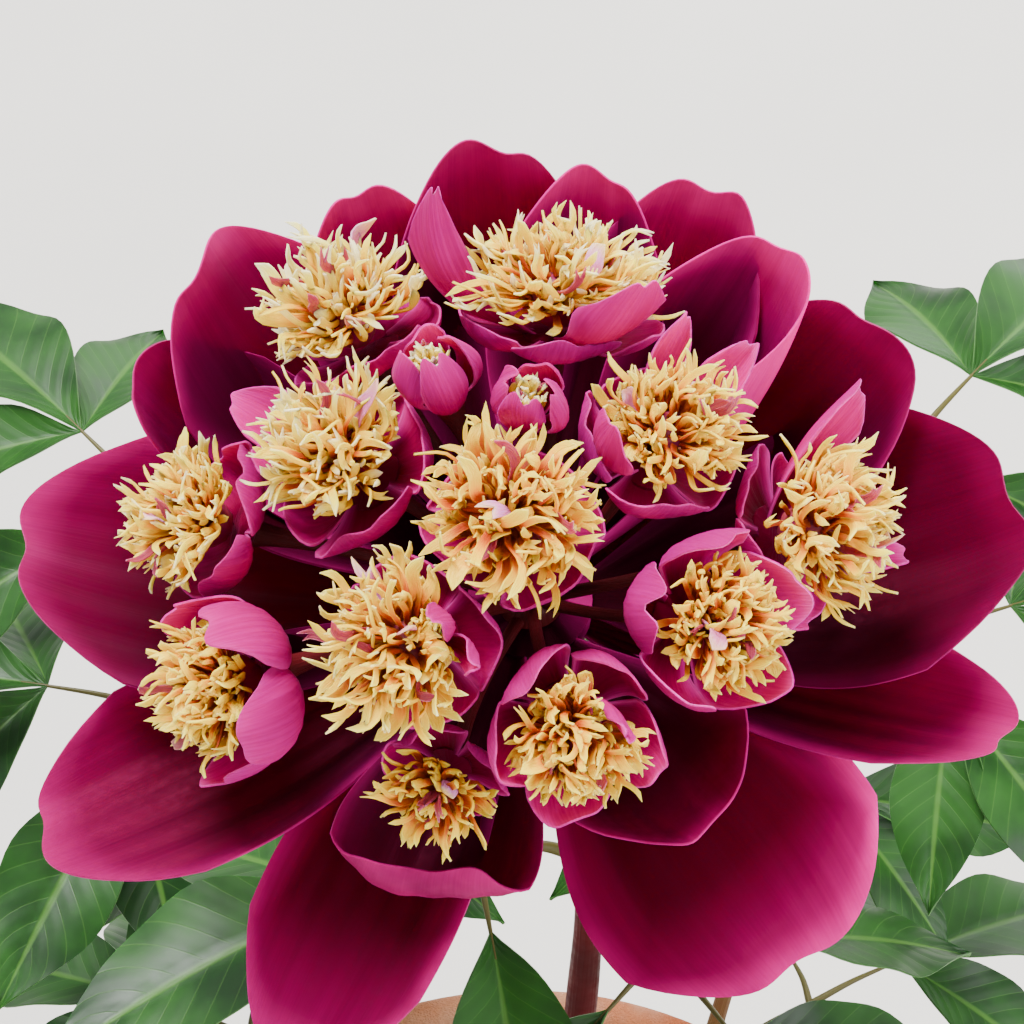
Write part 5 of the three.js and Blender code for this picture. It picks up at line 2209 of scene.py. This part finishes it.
@dataclass
class Soil:
    """The bed of soil with its crumbs, sized by its box in the frame."""

    stems: list[Stem]
    mound: float = 0.007
    rings: int = 34
    sides: int = 120
    crumbs: int = 900
    grit_share: float = 0.05
    lump: float = 0.0007
    drop: float = 0.0016
    drop_from: float = 0.96

    def __post_init__(self) -> None:
        """Reads the soil's foot, top and radius from the frame."""
        low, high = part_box("soil")
        self.foot, self.top = low.z, high.z
        self.radius = (high.x - low.x) / 2

    def surface(self, x: Array, y: Array) -> Array:
        """Gives the soil's height at a place: a low mound with lumps, which drops at the pot's wall.

        Args:
            x: the place's first coordinate.
            y: its second.

        Returns:
            The height.
        """
        share = np.clip(np.hypot(x, y) / self.radius, 0, 1)
        level = self.top - self.mound * share**1.6
        lumps = np.sin(151 * x + 40 * y) * np.sin(137 * y - 63 * x) + 0.6 * np.sin(389 * x) * np.sin(411 * y)
        dropped = self.drop * np.clip(share - self.drop_from, 0, 1) / 0.04
        return level + self.lump * lumps * (1 - 0.6 * share) - dropped

    def build(self) -> None:
        """Builds the bed and its crumbs as one piece and dresses it."""
        edge, brim = self.radius - 0.0004, self.top - self.mound
        rings = [(0.7 * edge, self.foot), (edge, brim - 0.012), (edge, brim)]
        rings.extend((edge * float(share), self.top) for share in np.linspace(0.985, 0.01, self.rings))
        bed = turned_piece("bed", rings, self.sides)
        corners = corners_of(bed)
        upper = corners[:, 2] > brim - 0.006
        corners[upper, 2] = self.surface(corners[upper, 0], corners[upper, 1])
        put_corners(bed, corners)
        piece = joined("soil_bed", [bed, self.scattered_crumbs(edge)], 80.0)
        mounted(piece, ["soil"], SoilFinish().material())

    def scattered_crumbs(self, edge: float) -> Piece:
        """Copies one crumb over the bed, clear of the stems.

        Args:
            edge: the radius inside which the crumbs lie.

        Returns:
            All the crumbs as one piece.
        """
        draw = np.random.default_rng(11)
        crumb = ball("crumb", 1)
        shape, faces = corners_of(crumb), faces_of(crumb)
        bpy.data.objects.remove(crumb)
        radius = edge * np.sqrt(draw.uniform(0, 0.93, self.crumbs))
        angle = draw.uniform(0, 2 * np.pi, self.crumbs)
        x, y = radius * np.cos(angle), radius * np.sin(angle)
        free = np.ones(self.crumbs, bool)
        for stem in self.stems:
            line = stem.curve.line
            foot = line[np.argmin(np.abs(line[:, 2] - self.top))]
            free &= np.hypot(x - foot[0], y - foot[1]) > stem.radii[0] + 0.0025
        x, y = x[free], y[free]
        count = len(x)
        size = draw.uniform(0.0007, 0.0026, (count, 1, 1)) * draw.uniform(0.55, 1.2, (count, 1, 3))
        rough = shape[None] * draw.uniform(0.8, 1.2, (count, len(shape), 1)) * size
        centres = np.stack([x, y, self.surface(x, y)], axis=-1)
        piece = repeated("crumbs", rough + centres[:, None], faces)
        pale = draw.uniform(0, 1, count) < self.grit_share
        mark(piece, "grit", np.repeat(pale, len(shape)))
        return piece


# Studio


@dataclass
class Studio:
    """The plain pale floor, the soft lights and the camera."""

    floor_size: float = 80.0
    floor_colours: tuple[str, str] = ("b2afaa", "b8b5b0")
    sky: str = "eef0f2"
    key_from: Triple = (-0.5, 0.3, 1.7)
    key_width: float = 24.0
    key_power: float = 12.0
    elevation: float = 45.0
    distance: float = 0.56
    sensor: float = 36.0
    focal_pixels: float = 2800.0
    frame_pixels: float = 1024.0
    head_at: Pair = (530.0, 600.0)

    def build(self) -> None:
        """Builds the floor, the lights, the sky and the camera."""
        self.floor()
        self.key()
        self.soft_light("fill", (1.3, -1.0, 1.2), 1.6, 60.0)
        self.soft_light("back", (0.7, 1.5, 1.1), 1.0, 30.0)
        world = bpy.data.worlds.new("studio")
        world.use_nodes = True
        world.node_tree.nodes["Background"].inputs[0].default_value = shade(self.sky)
        world.node_tree.nodes["Background"].inputs[1].default_value = 1.0
        bpy.context.scene.world = world
        self.camera()

    def floor(self) -> None:
        """Lays the floor."""
        deselect()
        bpy.ops.mesh.primitive_plane_add(size=self.floor_size)
        floor = bpy.context.object
        floor.name = "floor"
        coat = Coat("pale floor", Specular_IOR_Level=0.2, Roughness=0.85)
        coat.colour(coat.mix(coat.group(MOTTLING, coat.place(), Scale=3.0)["Patches"], *self.floor_colours))
        floor.data.materials.append(coat.material)

    def key(self) -> None:
        """Adds the key light, as soft as a bright window and even over the whole floor."""
        lamp = bpy.data.lights.new("key", "SUN")
        lamp.angle = math.radians(self.key_width)
        lamp.energy = self.key_power
        holder = linked("key", lamp)
        holder.location = self.key_from
        holder.rotation_euler = Vector(self.key_from).to_track_quat("Z", "Y").to_euler()

    def soft_light(self, name: str, place: Triple, size: float, power: float) -> None:
        """Adds a square soft light that faces the flower head.

        Args:
            name: the light's name.
            place: where it stands.
            size: the length of its side.
            power: in watts.
        """
        lamp = bpy.data.lights.new(name, "AREA")
        lamp.size = size
        lamp.energy = power
        holder = linked(name, lamp)
        holder.location = place
        toward = Vector((HEAD.x, HEAD.y, HEAD.z)) - Vector(place)
        holder.rotation_euler = toward.to_track_quat("-Z", "Y").to_euler()

    def camera(self) -> None:
        """Sets the camera so that the head lies where the photograph has it."""
        up_angle = math.radians(self.elevation)
        right = Vector((1, 0, 0))
        up = Vector((0, math.sin(up_angle), math.cos(up_angle)))
        back = Vector((0, -math.cos(up_angle), math.sin(up_angle)))
        scale = self.distance / self.focal_pixels
        middle = self.frame_pixels / 2
        shift_right = (self.head_at[0] - middle) * scale
        shift_up = (middle - self.head_at[1]) * scale
        camera = bpy.data.cameras.new("camera")
        camera.sensor_width = self.sensor
        camera.lens = self.focal_pixels * self.sensor / self.frame_pixels
        pose = Matrix((right, up, back)).transposed().to_4x4()
        head = Vector((HEAD.x, HEAD.y, HEAD.z))
        pose.translation = head + back * self.distance - right * shift_right - up * shift_up
        holder = linked("camera", camera)
        holder.matrix_world = pose
        bpy.context.scene.camera = holder


def main() -> None:
    """Builds the studio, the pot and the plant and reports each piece."""
    logging.basicConfig(level=logging.INFO, format="%(message)s")
    Studio().build()
    neck = tuple(HEAD.place(np.array([[0.0, 0.0, -0.014]]))[0])
    flowering = Stem(
        "flower_stem",
        [(0.006, 0.008, 0.130), (0.010, 0.012, 0.250), (0.015, 0.013, 0.370), (0.012, 0.008, 0.440), neck],
        (0.0046, 0.0032),
    )
    branch = Stem(
        "flower_stem",
        [(0.015, 0.012, 0.396), (0.008, 0.0, 0.425), (0.0, -0.009, 0.452), (0.0, -0.011, 0.482)],
        (0.002, 0.0017),
    )
    shoots = {
        "shoot_back_right": [(0.034, 0.030), (0.048, 0.044), (0.068, 0.066), (0.084, 0.088)],
        "shoot_back_left": [(-0.034, 0.032), (-0.046, 0.046), (-0.066, 0.066), (-0.084, 0.084)],
        "shoot_front_left": [(-0.032, -0.030), (-0.042, -0.038), (-0.060, -0.048), (-0.080, -0.056)],
        "shoot_front_right": [(0.036, -0.028), (0.048, -0.036), (0.068, -0.046), (0.090, -0.052)],
    }
    heights = {
        "shoot_back_right": (0.130, 0.240, 0.350, 0.430),
        "shoot_back_left": (0.130, 0.240, 0.340, 0.415),
        "shoot_front_left": (0.130, 0.220, 0.300, 0.360),
        "shoot_front_right": (0.130, 0.220, 0.300, 0.360),
    }
    stems = {
        name: Stem(name, [(x, y, z) for (x, y), z in zip(places, heights[name])])
        for name, places in shoots.items()
    }
    crown = FloretCrown()
    Pot().build()
    Soil([flowering, *stems.values()]).build()
    FloweringStem(crown, flowering, branch).build()
    Foliage(flowering, stems).build()
    Sepals().build()
    GuardWhorls(crown).build()
    crown.build()
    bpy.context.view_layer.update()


if __name__ == "__main__":
    main()
